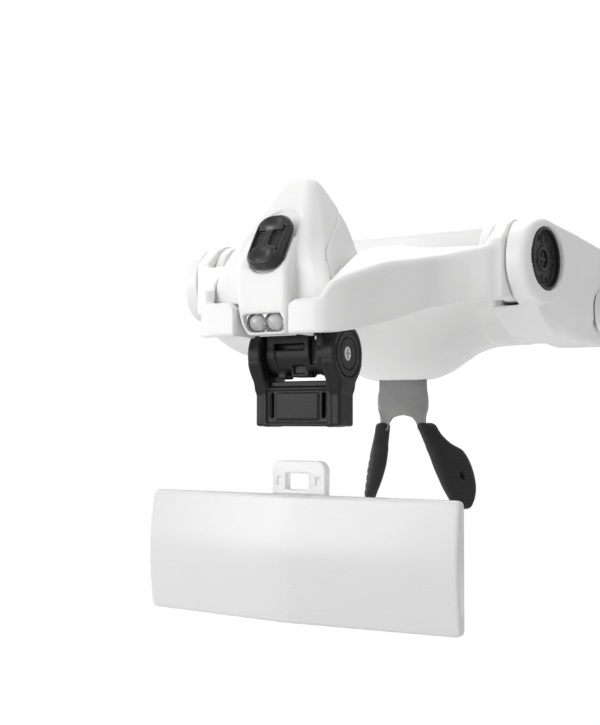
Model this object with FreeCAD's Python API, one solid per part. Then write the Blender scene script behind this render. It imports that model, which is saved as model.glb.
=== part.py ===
import FreeCAD, Part
import math
import os

# Head-worn magnifier: a brow frame with temples, and a visor hinged on it that carries a
# battery lamp and a flip-up lens. Millimetres. The origin is midway between the two visor
# hinges, on their common axis. +X is the wearer's left, -Y front, +Z up.
# The lens is shown drawn out below its holder.

Vector = FreeCAD.Vector
os.makedirs("parts", exist_ok=True)

# ---------------------------------------------------------------- driving dimensions
# Visor hinge: layers along X, from the inner cheek outwards
CHEEK_IN, CHEEK_OUT = 44.0, 47.40
WASHER_IN, WASHER_OUT = 47.45, 47.95
EAR_IN, EAR_OUT = 48.05, 52.40         # visor ear, between cheek and drum
DRUM_IN = 52.90
CHEEK_R = 11.5
EAR_R = 12.0
EAR_CLEAR_R = EAR_R + 0.7
DRUM_R, DRUM_Y, DRUM_Z = 12.2, -1.0, -0.8
PIVOT_R = 2.95
PIVOT_BORE_R = PIVOT_R + 0.05
EAR_BORE_R = PIVOT_R + 0.07
WING_X0, WING_SPLAY = 61.2, 0.18       # outer wing face, see wing_x
CAP_R, CAP_TILT, CAP_SEAT_X = 8.9, 6.0, 58.75

# Nose bracket, held by two screws along Y
NOSE_PLATE_Y, NOSE_PLATE_T = 30.4, 1.0  # front face and thickness of the sheet
NOSE_SCREW_XS, NOSE_SCREW_Z = (-5.0, 5.0), -27.5
PAD_TURN = 31.0                        # nose pad blades, degrees from straight back

# Visor tray and the lens bracket under it
TRAY_TOP, TRAY_BOT = -15.4, -17.4
BRACKET_SCREWS = [(x, y) for x in (-6.0, 6.0) for y in (-36.5, -29.0)]
FLIP_Y, FLIP_Z = -33.0, -27.5          # lens flip axis
BARREL_R, BARREL_HALF = 5.7, 9.5
HOLDER_EAR_R = 8.6
HOLDER_EAR_IN, HOLDER_EAR_OUT = 10.0, 14.2
RAIL_IN, RAIL_OUT = 9.4, 13.4
HOLDER_Y0, HOLDER_Y1, HOLDER_BOT = -37.4, -29.2, -47.9

# Lens
LENS_W, LENS_H = 100.0, 35.0
LENS_TOP = -67.0
LENS_MID_Z = LENS_TOP - LENS_H / 2
LENS_REAR, LENS_CORNER_T = -35.6, 2.8
LENS_TENT, LENS_BOW = 4.45, 1.8        # how far the middle stands in front of the corners
TAB_HALF, TAB_TOP = 8.7, -57.6
TAB_Y0, TAB_Y1 = -36.5, -33.7

# Lamp
LAMP_TILT_Y, LAMP_TILT_Z = -19.5, -12.2  # lamp tilt axis
LAMP_WALL = 1.6
BASE_TOP = -10.95
COVER_Z = -10.25                       # lower edge of the battery cover
LAMP_SCREW_XS, LAMP_SCREW_Y = (-11.4, 11.4), -45.6
CELL_R, CELL_T, CELL_Y = 10.0, 3.15, -35.8
LED_X, LED_Y, LED_Z, LED_R = 2.85, -50.0, -17.0, 2.5
LED_DROP = math.radians(24)            # LEDs look forward and down
LED_AXIS = Vector(0, -math.cos(LED_DROP), -math.sin(LED_DROP))

# Temples
TEMPLE_X, TEMPLE_Y = 67.4, 58.0        # temple fold axis
TEMPLE_Z0, TEMPLE_Z1 = -19.2, -5.8
JOINT_Z = (TEMPLE_Z0 + TEMPLE_Z1) / 2.0
JOINT_R = (TEMPLE_Z1 - TEMPLE_Z0) / 2.0
JOINT_ROUND_Y = 27 + JOINT_R           # centre of the joint plate's rounded front end
JOINT_SCREW_YS = (36.0, 50.0)


# ---------------------------------------------------------------- helpers
def box(x0, y0, z0, x1, y1, z1):
    return Part.makeBox(x1 - x0, y1 - y0, z1 - z0, Vector(x0, y0, z0))


def rod(start, direction, radius, length):
    return Part.makeCylinder(radius, length, Vector(*start), Vector(*direction))


def rod_x(x0, x1, y, z, radius):
    return rod((x0, y, z), (1, 0, 0), radius, x1 - x0)


def rod_y(y0, y1, x, z, radius):
    return rod((x, y0, z), (0, 1, 0), radius, y1 - y0)


def rod_z(z0, z1, x, y, radius):
    return rod((x, y, z0), (0, 0, 1), radius, z1 - z0)


def polygon(points):
    """Closed wire through points."""
    corners = [Vector(*p) for p in points]
    return Part.makePolygon(corners + [corners[0]])


def prism(points, axis, low, high):
    """Polygon extruded along an axis: z takes (x, y), x takes (y, z), y takes (x, z)."""
    length = high - low
    if axis == "z":
        base, path = [(a, b, low) for a, b in points], Vector(0, 0, length)
    elif axis == "x":
        base, path = [(low, a, b) for a, b in points], Vector(length, 0, 0)
    else:
        base, path = [(a, low, b) for a, b in points], Vector(0, length, 0)
    return Part.Face(polygon(base)).extrude(path)


def mirror(shape):
    return shape.mirror(Vector(0, 0, 0), Vector(1, 0, 0))


def both_sides(shape):
    return shape.fuse(mirror(shape)).removeSplitter()


def loft(sections):
    return Part.makeLoft([polygon(s) for s in sections], True, True)


def facet_loft(sections):
    """Loft with flat triangular side faces between sections of equal point count."""
    faces = [Part.Face(polygon(sections[0])), Part.Face(polygon(sections[-1]))]
    count = len(sections[0])
    for a, b in zip(sections, sections[1:]):
        for i in range(count):
            j = (i + 1) % count
            faces.append(Part.Face(polygon((a[i], a[j], b[j]))))
            faces.append(Part.Face(polygon((a[i], b[j], b[i]))))
    shell = Part.makeShell(faces)
    shell.sewShape()
    solid = Part.makeSolid(shell)
    if solid.Volume < 0:
        solid.reverse()
    return solid


def fillet(shape, radius, pick):
    """Round the picked edges; a shape that can't take the fillet stays sharp."""
    edges = [e for e in shape.Edges if pick(e)]
    if not edges:
        return shape
    # makeFillet raises an error where the radius doesn't fit the neighbouring faces
    try:
        rounded = shape.makeFillet(radius, edges)
        if rounded.isValid() and len(rounded.Solids) == len(shape.Solids):
            return rounded
    except Exception:
        pass
    return shape


def middle(edge):
    return edge.valueAt((edge.FirstParameter + edge.LastParameter) / 2.0)


def runs_along(edge, axis):
    run = edge.Vertexes[-1].Point.sub(edge.Vertexes[0].Point)
    if run.Length < 1e-6:
        return False
    return abs(getattr(run.normalize(), axis)) > 0.999


def headed(shank, head):
    return shank.fuse(head).removeSplitter()


def cut_cross(shape, x0, x1, y, z, half_length, half_width):
    """Cut a cross recess that faces along X."""
    for dy, dz in ((half_length, half_width), (half_width, half_length)):
        shape = shape.cut(box(x0, y - dy, z - dz, x1, y + dy, z + dz))
    return shape


def wing_x(y):
    """X of the splayed outer wing face."""
    return WING_X0 + y * WING_SPLAY


def wing_band(y0, y1, z0, z1, inner, outer):
    """Plate that follows the wing face, between two offsets from it."""
    return prism([(wing_x(y0) + inner, y0), (wing_x(y0) + outer, y0),
                  (wing_x(y1) + outer, y1), (wing_x(y1) + inner, y1)], "z", z0, z1)


def save(name, shape):
    solids = shape.Solids
    piece = solids[0] if len(solids) == 1 else Part.makeCompound(solids)
    if not piece.isValid():
        piece = piece.removeSplitter()
    piece.exportStep("parts/%s.step" % name)


# ---------------------------------------------------------------- head frame
# Outlines of the left half.
# Rear face in plan (x, y), from the centre outwards
REAR = [(0, 32.0), (12, 32.4), (25, 34.2), (40, 38.0), (50, 41.2), (60, 46.5)]
# Wall in plan (x, y)
WALL_PLAN = [(0, 26), (34, 26), (40, 24.5), (44, 20), (44, 0), (CHEEK_OUT, 0),
             (CHEEK_OUT, 14), (50, 14.2)] + REAR[4::-1]
# Wall seen from the front (x, z)
WALL_FRONT = [(-1, 16.2), (30, 16.2), (38, 15.2), (44, 12.6), (50, 12.0), (50, -21.5),
              (40, -21.8), (33, -22.2), (27, -24.0), (22, -27.2), (17, -30.4), (11, -32.4),
              (5, -33.0), (-1, -33.0)]
# Space under the cheek (y, z); its top edge rises towards the hinge
UNDER_CHEEK = [(-20, -40), (-20, -12.6), (-2, -13.2), (4, -17.0), (10, -19.6), (18, -21.4),
               (30, -21.6), (30, -40)]
# Wing in plan (x, y) and from the side (y, z)
WING_PLAN = [(49.5, 14.2), (DRUM_IN, 14.2), (DRUM_IN, -16), (wing_x(-16), -16),
             (wing_x(54), 54), (65.2, 54), (60, 46.5), (49.5, 41.0)]
WING_SIDE = [(-1, 11.3), (3, 11.0), (34, 6.8), (54, 3.6), (54, -21.5), (40, -23.0),
             (28, -22.6), (18, -21.6), (10, -19.8), (4, -17.2), (-1, -13.0)]
# Floor under the visor ear (y, z)
EAR_FLOOR = [(-2, -12.9), (14.5, -12.9), (14.5, -21.0), (10, -19.6), (4, -17.0), (-2, -13.4)]
# Web from the front wall to the underside of the hinge (x, y)
SKIRT = [(34.5, 26.05), (40, 24.6), (44.6, 18.5), (47.8, 10), (49.8, 2.5), (50.6, -2),
         (56, -2), (56, 20), (44, 30), (36, 30)]
# Pocket in the wall, open to the rear (x, y)
POCKET = [(-1, 28.2), (33.5, 28.2), (41.5, 26.2), (46.2, 22.0), (46.2, 18.0), (51.5, 18.0),
          (54.5, 24), (56.5, 34), (58.0, 47.0), (50, 42.5), (40, 39.5), (25, 36), (12, 34),
          (-1, 33.6)]
# Front opening of the ear slot (y, z)
EAR_OPENING = [(-20, -12.6), (0, -12.7), (0, 20), (-20, 20)]


def frame_body():
    """Left half of the frame before its openings are cut."""
    wall = prism(WALL_PLAN, "z", -36, 20)
    wall = wall.common(prism(WALL_FRONT, "y", -20, 60))
    wall = wall.cut(prism(UNDER_CHEEK, "x", 43.0, 80))
    cheek = rod_x(CHEEK_IN, CHEEK_OUT, 0, 0, CHEEK_R)
    wing = prism(WING_PLAN, "z", -36, 20).common(prism(WING_SIDE, "x", 40, 80))
    beyond_wing = [(wing_x(-30), -30), (90, -30), (90, 60), (wing_x(60), 60)]
    drum = rod_x(DRUM_IN, 65, DRUM_Y, DRUM_Z, DRUM_R).cut(prism(beyond_wing, "z", -40, 30))
    ear_floor = prism(EAR_FLOOR, "x", CHEEK_IN, 58.5)
    skirt = prism(SKIRT, "z", -36, -12.9).cut(prism(UNDER_CHEEK, "x", 30, 80))
    return wall.fuse([cheek, wing, drum, ear_floor, skirt])


def brow_frame():
    half = frame_body()
    half = half.cut(rod_x(CHEEK_OUT, DRUM_IN, 0, 0, EAR_CLEAR_R))
    half = half.cut(prism(EAR_OPENING, "x", CHEEK_OUT, DRUM_IN))
    half = half.cut(prism(POCKET, "z", -19.0, 13.4))
    # pivot screw bore and head seat
    half = half.cut(rod_x(40, 56, 0, 0, PIVOT_BORE_R))
    half = half.cut(rod_x(55.4, 70, 0, 0, 5.3))
    # recess for the hinge cap, tilted with it
    tilt = math.radians(CAP_TILT)
    cap_axis = (math.cos(tilt), -math.sin(tilt), 0)
    half = half.cut(rod((CAP_SEAT_X, 0, 0), cap_axis, CAP_R + 0.2, 8))
    # seat for the temple joint plate on the outer wing face
    seat = wing_band(JOINT_ROUND_Y, 56, TEMPLE_Z0 - 0.1, TEMPLE_Z1 + 0.1, -1.3, 4)
    seat_x = wing_x(JOINT_ROUND_Y) - 1.3
    seat = seat.fuse(rod_x(seat_x, seat_x + 5, JOINT_ROUND_Y, JOINT_Z, JOINT_R + 0.1))
    half = half.cut(seat)
    for y in JOINT_SCREW_YS:
        half = half.cut(rod_x(52, 72, y, JOINT_Z, 1.05))
    frame = both_sides(half)
    # slot, screw holes and head seats for the nose bracket
    frame = frame.cut(box(-8.8, NOSE_PLATE_Y - 0.1, -40,
                          8.8, NOSE_PLATE_Y + NOSE_PLATE_T + 0.1, -23.0))
    for x in NOSE_SCREW_XS:
        frame = frame.cut(rod_y(20, 40, x, NOSE_SCREW_Z, 1.05))
        frame = frame.cut(rod_y(NOSE_PLATE_Y + 1.55, NOSE_PLATE_Y + 7.55, x, NOSE_SCREW_Z, 2.1))

    def front_top_edge(edge):
        at = middle(edge)
        return (abs(at.z - 16.2) < 0.2 and abs(at.x) < 39 and at.y < 27
                and runs_along(edge, "x"))
    return fillet(frame, 2.5, front_top_edge)


def rear_band(front, back, half_width):
    """Plan of a band along the rear face, between two Y offsets from it.

    half_width lies between the X of the last two REAR points.
    """
    (x0, y0), (x1, y1) = REAR[-2:]
    end = (half_width, y0 + (y1 - y0) * (half_width - x0) / (x1 - x0))
    edge = REAR[:-1] + [end]
    a = [(x, y + front) for x, y in edge]
    b = [(x, y + back) for x, y in edge]
    return [(-x, y) for x, y in a[::-1]] + a[1:] + b[::-1] + [(-x, y) for x, y in b[1:]]


def brow_liner():
    """Plate that closes the frame's rear pocket."""
    liner = prism(rear_band(-1.9, -0.1, 56.0), "z", -18.9, 13.3)
    for x in (-44.0, -16.0, 16.0, 44.0):
        liner = liner.cut(rod_y(20, 50, x, 8.5, 1.3))
    return liner


def forehead_pad():
    bottom, top = -16.5, 11.5
    pad = prism(rear_band(0.15, 5.6, 52.0), "z", bottom, top)
    return fillet(pad, 2.2, lambda e: abs(middle(e).z - bottom) < 0.1
                  or abs(middle(e).z - top) < 0.1)


# ---------------------------------------------------------------- nose bracket and pads
# Bracket seen from the front (x, z)
NOSE_BRACKET = [(-8.7, -24), (8.7, -24), (8.7, -38.5), (9.0, -44.0), (8.2, -48.0),
                (5.2, -48.0), (4.6, -45.4), (2.8, -43.9), (0, -43.4), (-2.8, -43.9),
                (-4.6, -45.4), (-5.2, -48.0), (-8.2, -48.0), (-9.0, -44.0), (-8.7, -38.5)]
# Left nose pad from the bracket leg to the tip:
# centre x, y, z, half breadth, half thickness
NOSE_PAD = [
    (7.6, 31.1, -46.2, 2.5, 2.2), (7.9, 31.3, -47.4, 2.9, 2.4), (8.9, 32.2, -50.0, 3.2, 2.45),
    (10.7, 34.1, -53.5, 4.3, 2.55), (12.6, 36.4, -56.0, 6.2, 2.6),
    (14.5, 37.9, -61.0, 6.6, 2.6), (16.2, 38.6, -67.0, 5.95, 2.3),
    (17.1, 38.4, -71.2, 4.7, 1.9), (17.6, 38.2, -74.8, 2.2, 1.3),
]


def nose_bracket():
    plate = prism(NOSE_BRACKET, "y", NOSE_PLATE_Y, NOSE_PLATE_Y + NOSE_PLATE_T)
    for x in NOSE_SCREW_XS:
        plate = plate.cut(rod_y(28, 34, x, NOSE_SCREW_Z, 1.1))
    return plate


def nose_bracket_screws():
    screws = []
    y, z = NOSE_PLATE_Y, NOSE_SCREW_Z
    for x in NOSE_SCREW_XS:
        screw = headed(rod_y(y - 2.2, y + 1.7, x, z, 1.0), rod_y(y + 1.6, y + 2.5, x, z, 1.9))
        screws.append(screw.cut(box(x - 1.3, y + 2.1, z - 0.3, x + 1.3, y + 4.0, z + 0.3)))
    return Part.makeCompound(screws)


def pad_section(x, y, z, breadth, thickness):
    """Level octagon with cut corners, its broad side turned PAD_TURN from straight back."""
    turn = math.radians(PAD_TURN)
    sin, cos = math.sin(turn), math.cos(turn)
    b, t, c = breadth, thickness, 0.5 * thickness
    corners = ((-b, -t + c), (-b + c, -t), (b - c, -t), (b, -t + c),
               (b, t - c), (b - c, t), (-b + c, t), (-b, t - c))
    return [(x + u * sin + w * cos, y + u * cos - w * sin, z) for u, w in corners]


def nose_pad():
    pad = facet_loft([pad_section(*row) for row in NOSE_PAD])
    # slot for the bracket leg; only the largest piece is kept
    pad = pad.cut(box(4.0, NOSE_PLATE_Y - 0.1, -48.2,
                      9.1, NOSE_PLATE_Y + NOSE_PLATE_T + 0.1, -41.0))
    return max(pad.Solids, key=lambda solid: solid.Volume)


# ---------------------------------------------------------------- visor hinge hardware
def friction_washer():
    return rod_x(WASHER_IN, WASHER_OUT, 0, 0, 9.5).cut(rod_x(40, 60, 0, 0, 3.05))


def pivot_screw():
    screw = headed(rod_x(44.4, 55.45, 0, 0, PIVOT_R), rod_x(55.42, 57.3, 0, 0, 5.0))
    return cut_cross(screw, 56.3, 58, 0, 0, 3.2, 0.55)


def hinge_cap():
    """Round cap with a centre recess, eight dimples and a cross, then tilted."""
    cap = rod_x(0, 1.75, 0, 0, CAP_R).cut(rod_x(0.75, 1.95, 0, 0, 2.5))
    for k in range(8):
        angle = math.radians(22.5 + 45 * k)
        cap = cap.cut(rod_x(1.0, 1.9, 5.9 * math.cos(angle), 5.9 * math.sin(angle), 0.62))
    cap = cut_cross(cap, 0.35, 2, 0, 0, 1.9, 0.45)
    cap.rotate(Vector(0, 0, 0), Vector(0, 0, 1), -CAP_TILT)
    cap.translate(Vector(CAP_SEAT_X + 0.05, 0, 0))
    return cap


# ---------------------------------------------------------------- visor shell
# Stations along the left outer plan line:
# x, y, bottom z, top z, wall, inward normal x, y, ledge width, ledge rise
SHELL_STATIONS = [
    (8.7, -56.6, -23.2, -14.5, 2.0, 0.0, 1.0, 2.3, 0.0),
    (16.8, -56.1, -23.3, -14.2, 2.0, -0.10, 0.995, 2.6, 0.1),
    (19.8, -53.6, -23.1, -9.8, 2.0, -0.70, 0.71, 2.3, 0.4),
    (22.8, -48.2, -22.2, -7.7, 2.0, -0.89, 0.45, 4.0, 3.0),
    (28.6, -36.6, -19.0, -3.6, 2.0, -0.87, 0.50, 9.0, 5.2),
    (33.2, -29.6, -16.4, -2.5, 2.0, -0.80, 0.60, 10.0, 5.5),
    (38.2, -23.6, -14.6, -0.8, 2.0, -0.74, 0.67, 8.4, 3.7),
    (44.2, -18.8, -13.2, 1.0, 2.1, -0.62, 0.78, 4.2, 2.0),
    (49.6, -15.2, -12.4, 2.9, 2.4, -0.70, 0.71, 2.5, 0.5),
    (52.35, -10.4, -11.6, 6.6, 4.2, -1.0, 0.0, 4.25, 0.0),
]
LEDGE_T = 1.9
# Neck between shell and ear (y, z)
EAR_NECK = [(-12.5, -11.6), (-4, -11.3), (-4, 11.3), (-8, 9.6), (-12.5, 5.0)]
# Left half of the tray (x, y)
TRAY_PLAN = [(0, -55.2), (16.5, -55.2), (19.4, -52.6), (22.0, -47.6), (27.2, -37.6),
             (23.5, -30.0), (18.3, -24.0), (14.0, -15.0), (0, -15.0)]
# Rib that ties the ledge to the tray (y, z)
LEDGE_RIB = [(-37.0, TRAY_BOT), (-27.5, TRAY_BOT), (-29.5, -0.6), (-32.0, 0.4), (-37.0, -1.8)]
# Lug for the lamp pivot pin (y, z)
LAMP_LUG = [(-22.5, TRAY_BOT), (-16.5, TRAY_BOT), (-17.6, -12.2), (-18.2, -10.9),
            (-19.5, -10.35), (-20.8, -10.9), (-21.4, -12.2)]


def shell_section(x, y, bottom, top, wall, nx, ny, ledge, rise):
    """Upright wall with a ledge running inwards from its top."""
    length = math.hypot(nx, ny)
    nx, ny = nx / length, ny / length
    tip_x, tip_y = x + nx * ledge, y + ny * ledge
    in_x, in_y = x + nx * wall, y + ny * wall
    return [(x, y, bottom), (x, y, top), (tip_x, tip_y, top + rise),
            (tip_x, tip_y, top + rise - LEDGE_T),
            (in_x, in_y, top + rise * wall / ledge - LEDGE_T), (in_x, in_y, bottom)]


def visor_shell():
    half = loft([shell_section(*row) for row in SHELL_STATIONS])
    half = half.fuse([rod_x(EAR_IN, EAR_OUT, 0, 0, EAR_R),
                      prism(EAR_NECK, "x", EAR_IN, EAR_OUT)])
    tray = prism(TRAY_PLAN, "z", TRAY_BOT, TRAY_TOP)
    tray = tray.cut(box(-1, -60, -30, 9.3, -44.5, 0))  # notch for the nose of the lamp
    half = half.fuse([tray, prism(LEDGE_RIB, "x", 20.4, 22.2), prism(LAMP_LUG, "x", 10.2, 12.6)])
    half = half.cut(rod_x(46, 54, 0, 0, EAR_BORE_R))
    half = half.cut(rod_x(9, 25, LAMP_TILT_Y, LAMP_TILT_Z, 1.02))
    shell = both_sides(half)
    for x, y in BRACKET_SCREWS:
        shell = shell.cut(rod_z(-20, -12, x, y, 1.05))
    return shell


# ---------------------------------------------------------------- lens bracket
# Neck between tray and barrel (y, z)
BRACKET_NECK = [(-39.0, -17.5), (-26.2, -17.5), (-27.2, -22.5), (-28.0, -27.0),
                (-38.2, -27.0), (-39.0, -24.5)]


def lens_bracket():
    bracket = rod_x(-BARREL_HALF, BARREL_HALF, FLIP_Y, FLIP_Z, BARREL_R)
    bracket = bracket.fuse(prism(BRACKET_NECK, "x", -BARREL_HALF, BARREL_HALF))
    bracket = bracket.fuse(box(-7.2, -35.4, -34.0, -5.2, -31.5, -30.0))
    bracket = bracket.cut(rod_x(-20, 20, FLIP_Y, FLIP_Z, 1.56))
    # moulding pockets: two at the front, one at the rear
    bracket = bracket.cut(box(-6.8, -40, -26.2, 3.2, -35.9, -24.6))
    bracket = bracket.cut(box(4.6, -40, -30.5, 7.4, -36.8, -22.6))
    bracket = bracket.cut(box(-6.0, -30.2, -26.0, 6.0, -25.0, -19.5))
    for x, y in BRACKET_SCREWS:
        bracket = bracket.cut(rod_z(-24.0, -17, x, y, 0.85))
    return bracket.removeSplitter()


def bracket_screws():
    screws = []
    seat = TRAY_TOP + 0.05
    for x, y in BRACKET_SCREWS:
        screw = headed(rod_z(-23.5, seat, x, y, 0.8), rod_z(seat, seat + 1.1, x, y, 1.7))
        screws.append(screw.cut(box(x - 1.1, y - 0.2, TRAY_TOP + 0.7,
                                    x + 1.1, y + 0.2, TRAY_TOP + 2)))
    return Part.makeCompound(screws)


# ---------------------------------------------------------------- flip-up lens holder
# Web between ear and rail (y, z)
HOLDER_WEB = [(-41.3, -29.5), (-40.2, -33.0), (-38.4, -35.8), (HOLDER_Y0, -37.2),
              (HOLDER_Y1, -37.2), (-27.4, -34.6), (-25.4, -31.5), (-24.7, -29.5)]


def holder_side(side):
    """Ear, web and rail; side is 1 for left, -1 for right."""
    x0, x1 = sorted((side * HOLDER_EAR_IN, side * HOLDER_EAR_OUT))
    rail0, rail1 = sorted((side * RAIL_IN, side * RAIL_OUT))
    ear = rod_x(x0, x1, FLIP_Y, FLIP_Z, HOLDER_EAR_R)
    rail = box(rail0, HOLDER_Y0, HOLDER_BOT, rail1, HOLDER_Y1, -35.0)
    return ear.fuse([prism(HOLDER_WEB, "x", x0, x1), rail])


def lens_holder():
    block = box(-10.2, HOLDER_Y0, HOLDER_BOT, 10.2, HOLDER_Y1, -36.6)
    holder = holder_side(1).fuse([holder_side(-1), block]).removeSplitter()
    holder = holder.fuse(box(-10.2, -36.2, -36.7, 10.2, HOLDER_Y1, -35.0)).removeSplitter()
    # shallow front recess, deeper along its two sides
    front = HOLDER_Y0 - 1
    holder = holder.cut(box(-10.3, front, -46.9, 10.3, HOLDER_Y0 + 0.3, -36.7))
    for side in (-1, 1):
        x0, x1 = sorted((side * 8.5, side * 10.2))
        holder = holder.cut(box(x0, front, -45.5, x1, HOLDER_Y0 + 0.75, -37.6))
    # socket for the lens tab
    holder = holder.cut(box(-TAB_HALF - 0.1, TAB_Y0 - 0.1, -60,
                            TAB_HALF + 0.1, TAB_Y1 + 0.1, -38.2))
    # pivot bore, screw head seat, ring grooves, nut seat
    holder = holder.cut(rod_x(-20, 20, FLIP_Y, FLIP_Z, 1.55))
    holder = holder.cut(rod_x(12.9, 20, FLIP_Y, FLIP_Z, 2.6))
    ring = rod_x(13.7, 20, FLIP_Y, FLIP_Z, 7.0).cut(rod_x(12, 21, FLIP_Y, FLIP_Z, 6.3))
    holder = holder.cut(ring).cut(mirror(ring))
    holder = holder.cut(rod_x(-20, -13.1, FLIP_Y, FLIP_Z, 2.6))
    return holder.removeSplitter()


def holder_pivot_screw():
    screw = headed(rod_x(-12.6, 13.0, FLIP_Y, FLIP_Z, 1.5),
                   rod_x(12.95, 14.0, FLIP_Y, FLIP_Z, 2.3))
    return cut_cross(screw, 13.4, 15, FLIP_Y, FLIP_Z, 1.4, 0.3)


def holder_pivot_nut():
    nut = rod_x(-14.2, -13.15, FLIP_Y, FLIP_Z, 2.5).cut(rod_x(-20, 0, FLIP_Y, FLIP_Z, 1.05))
    angles = [math.radians(60 * k) for k in range(6)]
    hexagon = [(FLIP_Y + 2.4 * math.cos(a), FLIP_Z + 2.4 * math.sin(a)) for a in angles]
    return nut.common(prism(hexagon, "x", -15, -12))


def holder_washers():
    washer = rod_x(9.55, 9.95, FLIP_Y, FLIP_Z, 5.0).cut(rod_x(8, 11, FLIP_Y, FLIP_Z, 1.6))
    return Part.makeCompound([washer, mirror(washer)])


# ---------------------------------------------------------------- lens
LENS_XS = (-50.0, -44.0, -33.0, -22.0, -11.0, -5.0, 0.0, 5.0, 11.0, 22.0, 33.0, 44.0, 50.0)
LENS_STEPS = 8                         # front facets down the height


def lens_front(x, z):
    """Y of the front face: tented across the width, bowed over the height."""
    tent = LENS_TENT * (1 - (math.sqrt(x * x + 9.0) - 3.0) / (LENS_W / 2 - 2.4))
    bow = LENS_BOW * (1 - ((z - LENS_MID_Z) / (LENS_H / 2)) ** 2)
    return LENS_REAR - LENS_CORNER_T - tent - bow


def lens():
    heights = [LENS_TOP - LENS_H * k / LENS_STEPS for k in range(LENS_STEPS + 1)]
    body = facet_loft([
        [(x, LENS_REAR, LENS_TOP)] + [(x, lens_front(x, z), z) for z in heights]
        + [(x, LENS_REAR, LENS_TOP - LENS_H)] for x in LENS_XS])
    body = fillet(body, 1.2, lambda e: runs_along(e, "y")
                  and abs(abs(middle(e).x) - LENS_W / 2) < 0.1)
    # tab with eased upper corners, stepped to sit on the lens
    left = [(TAB_HALF - 2, TAB_TOP), (TAB_HALF - 0.6, TAB_TOP - 0.6),
            (TAB_HALF, TAB_TOP - 2), (TAB_HALF, LENS_TOP - 2.0)]
    tab = prism([(-x, z) for x, z in left[::-1]] + left, "y", TAB_Y0, TAB_Y1)
    step_y = LENS_REAR - 0.4
    tab = tab.cut(prism([(TAB_Y0 - 1, LENS_TOP), (TAB_Y0 - 1, LENS_TOP - 3),
                         (step_y, LENS_TOP - 3), (step_y, LENS_TOP)], "x", -20, 20))
    body = body.fuse(tab)
    return body.cut(box(-4.2, -50, -65.6, 4.2, -20, -60.9)).removeSplitter()


# ---------------------------------------------------------------- lamp
# Horizontal sections: z, front half width, front y, shoulder y, rear half width, rear y
LAMP_STATIONS = [
    (-12.9, 18.6, -53.2, -48.6, 16.6, -23.5),
    (-5.0, 18.0, -54.2, -49.2, 16.0, -22.4),
    (2.5, 15.0, -51.0, -46.4, 13.9, -22.6),
    (9.0, 12.0, -46.9, -42.8, 11.2, -25.4),
    (15.0, 9.0, -42.7, -39.2, 8.2, -28.0),
    (20.5, 6.0, -38.6, -36.2, 5.0, -30.0),
    (23.6, 3.2, -36.2, -35.2, 2.8, -32.0),
]
# Nose at the lower front: z, front half width, front y, rear half width
LAMP_NOSE = [(-22.6, 7.4, -55.0, 7.0), (-15.0, 8.2, -56.0, 8.0),
             (-6.0, 8.6, -56.4, 8.4), (0.0, 8.2, -52.6, 8.0)]
LAMP_NOSE_REAR = -47.2
# Seam between front housing and battery cover (y, z), on the housing and on the cover
HOUSING_SEAM = [(-50.3, -9.4), (-49.9, -3.6), (-48.2, -0.4), (-44.0, 2.9), (-36.5, 8.2),
                (-30.6, 13.6)]
COVER_SEAM = [(-50.1, -9.3), (-49.75, -3.7), (-48.1, -0.55), (-43.93, 2.75), (-36.43, 8.05),
              (-30.55, 13.45)]
# Front slope that carries the switch: origin, direction up the slope, outward normal
SLOPE_ORIGIN = Vector(0, -52.1, 1.4)
SLOPE_UP = Vector(0, 0.527, 0.850)
SLOPE_NORMAL = Vector(0, -0.850, 0.527)
SWITCH_X = 0.9                         # sideways offset of knob and slots
KNOB_TOP = 3.4


def lamp_solid(inset):
    """Lamp envelope, or its cavity when inset; the cavity stops below the top station."""
    sections = []
    for z, front, front_y, shoulder_y, rear, rear_y in LAMP_STATIONS[:-1 if inset else None]:
        front, rear = front - inset, rear - inset
        front_y, rear_y = front_y + inset * 1.2, rear_y - inset * 1.2
        if z > 20:
            z = z - inset * 1.1
        corner_y = rear_y - (3.0 if z < 18 else 1.0)
        mid_y = (shoulder_y + corner_y) / 2.0
        sections.append([
            (-front, shoulder_y, z), (-front * 0.72, front_y, z), (front * 0.72, front_y, z),
            (front, shoulder_y, z), (front, mid_y, z), (rear, corner_y, z),
            (rear * 0.6, rear_y, z), (-rear * 0.6, rear_y, z), (-rear, corner_y, z),
            (-front, mid_y, z)])
    return facet_loft(sections)


def slope_prism(points, low, high):
    """Extrude (x, distance up the slope) points between two heights off the slope."""
    base = [(x, SLOPE_ORIGIN.y + SLOPE_UP.y * s + SLOPE_NORMAL.y * low,
             SLOPE_ORIGIN.z + SLOPE_UP.z * s + SLOPE_NORMAL.z * low) for x, s in points]
    return Part.Face(polygon(base)).extrude(SLOPE_NORMAL * (high - low))


def slope_stadium(radius, s0, s1, low, high, steps=10):
    """Faceted stadium on the slope, centred on SWITCH_X."""
    points = []
    for start, centre in ((0, s1 - radius), (math.pi, s0 + radius)):
        for k in range(steps + 1):
            a = start + math.pi * k / steps
            points.append((SWITCH_X + radius * math.cos(a), centre + radius * math.sin(a)))
    return slope_prism(points, low, high)


def slope_block(half, s0, s1, low, high):
    return slope_prism([(-half, s0), (half, s0), (half, s1), (-half, s1)], low, high)


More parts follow.
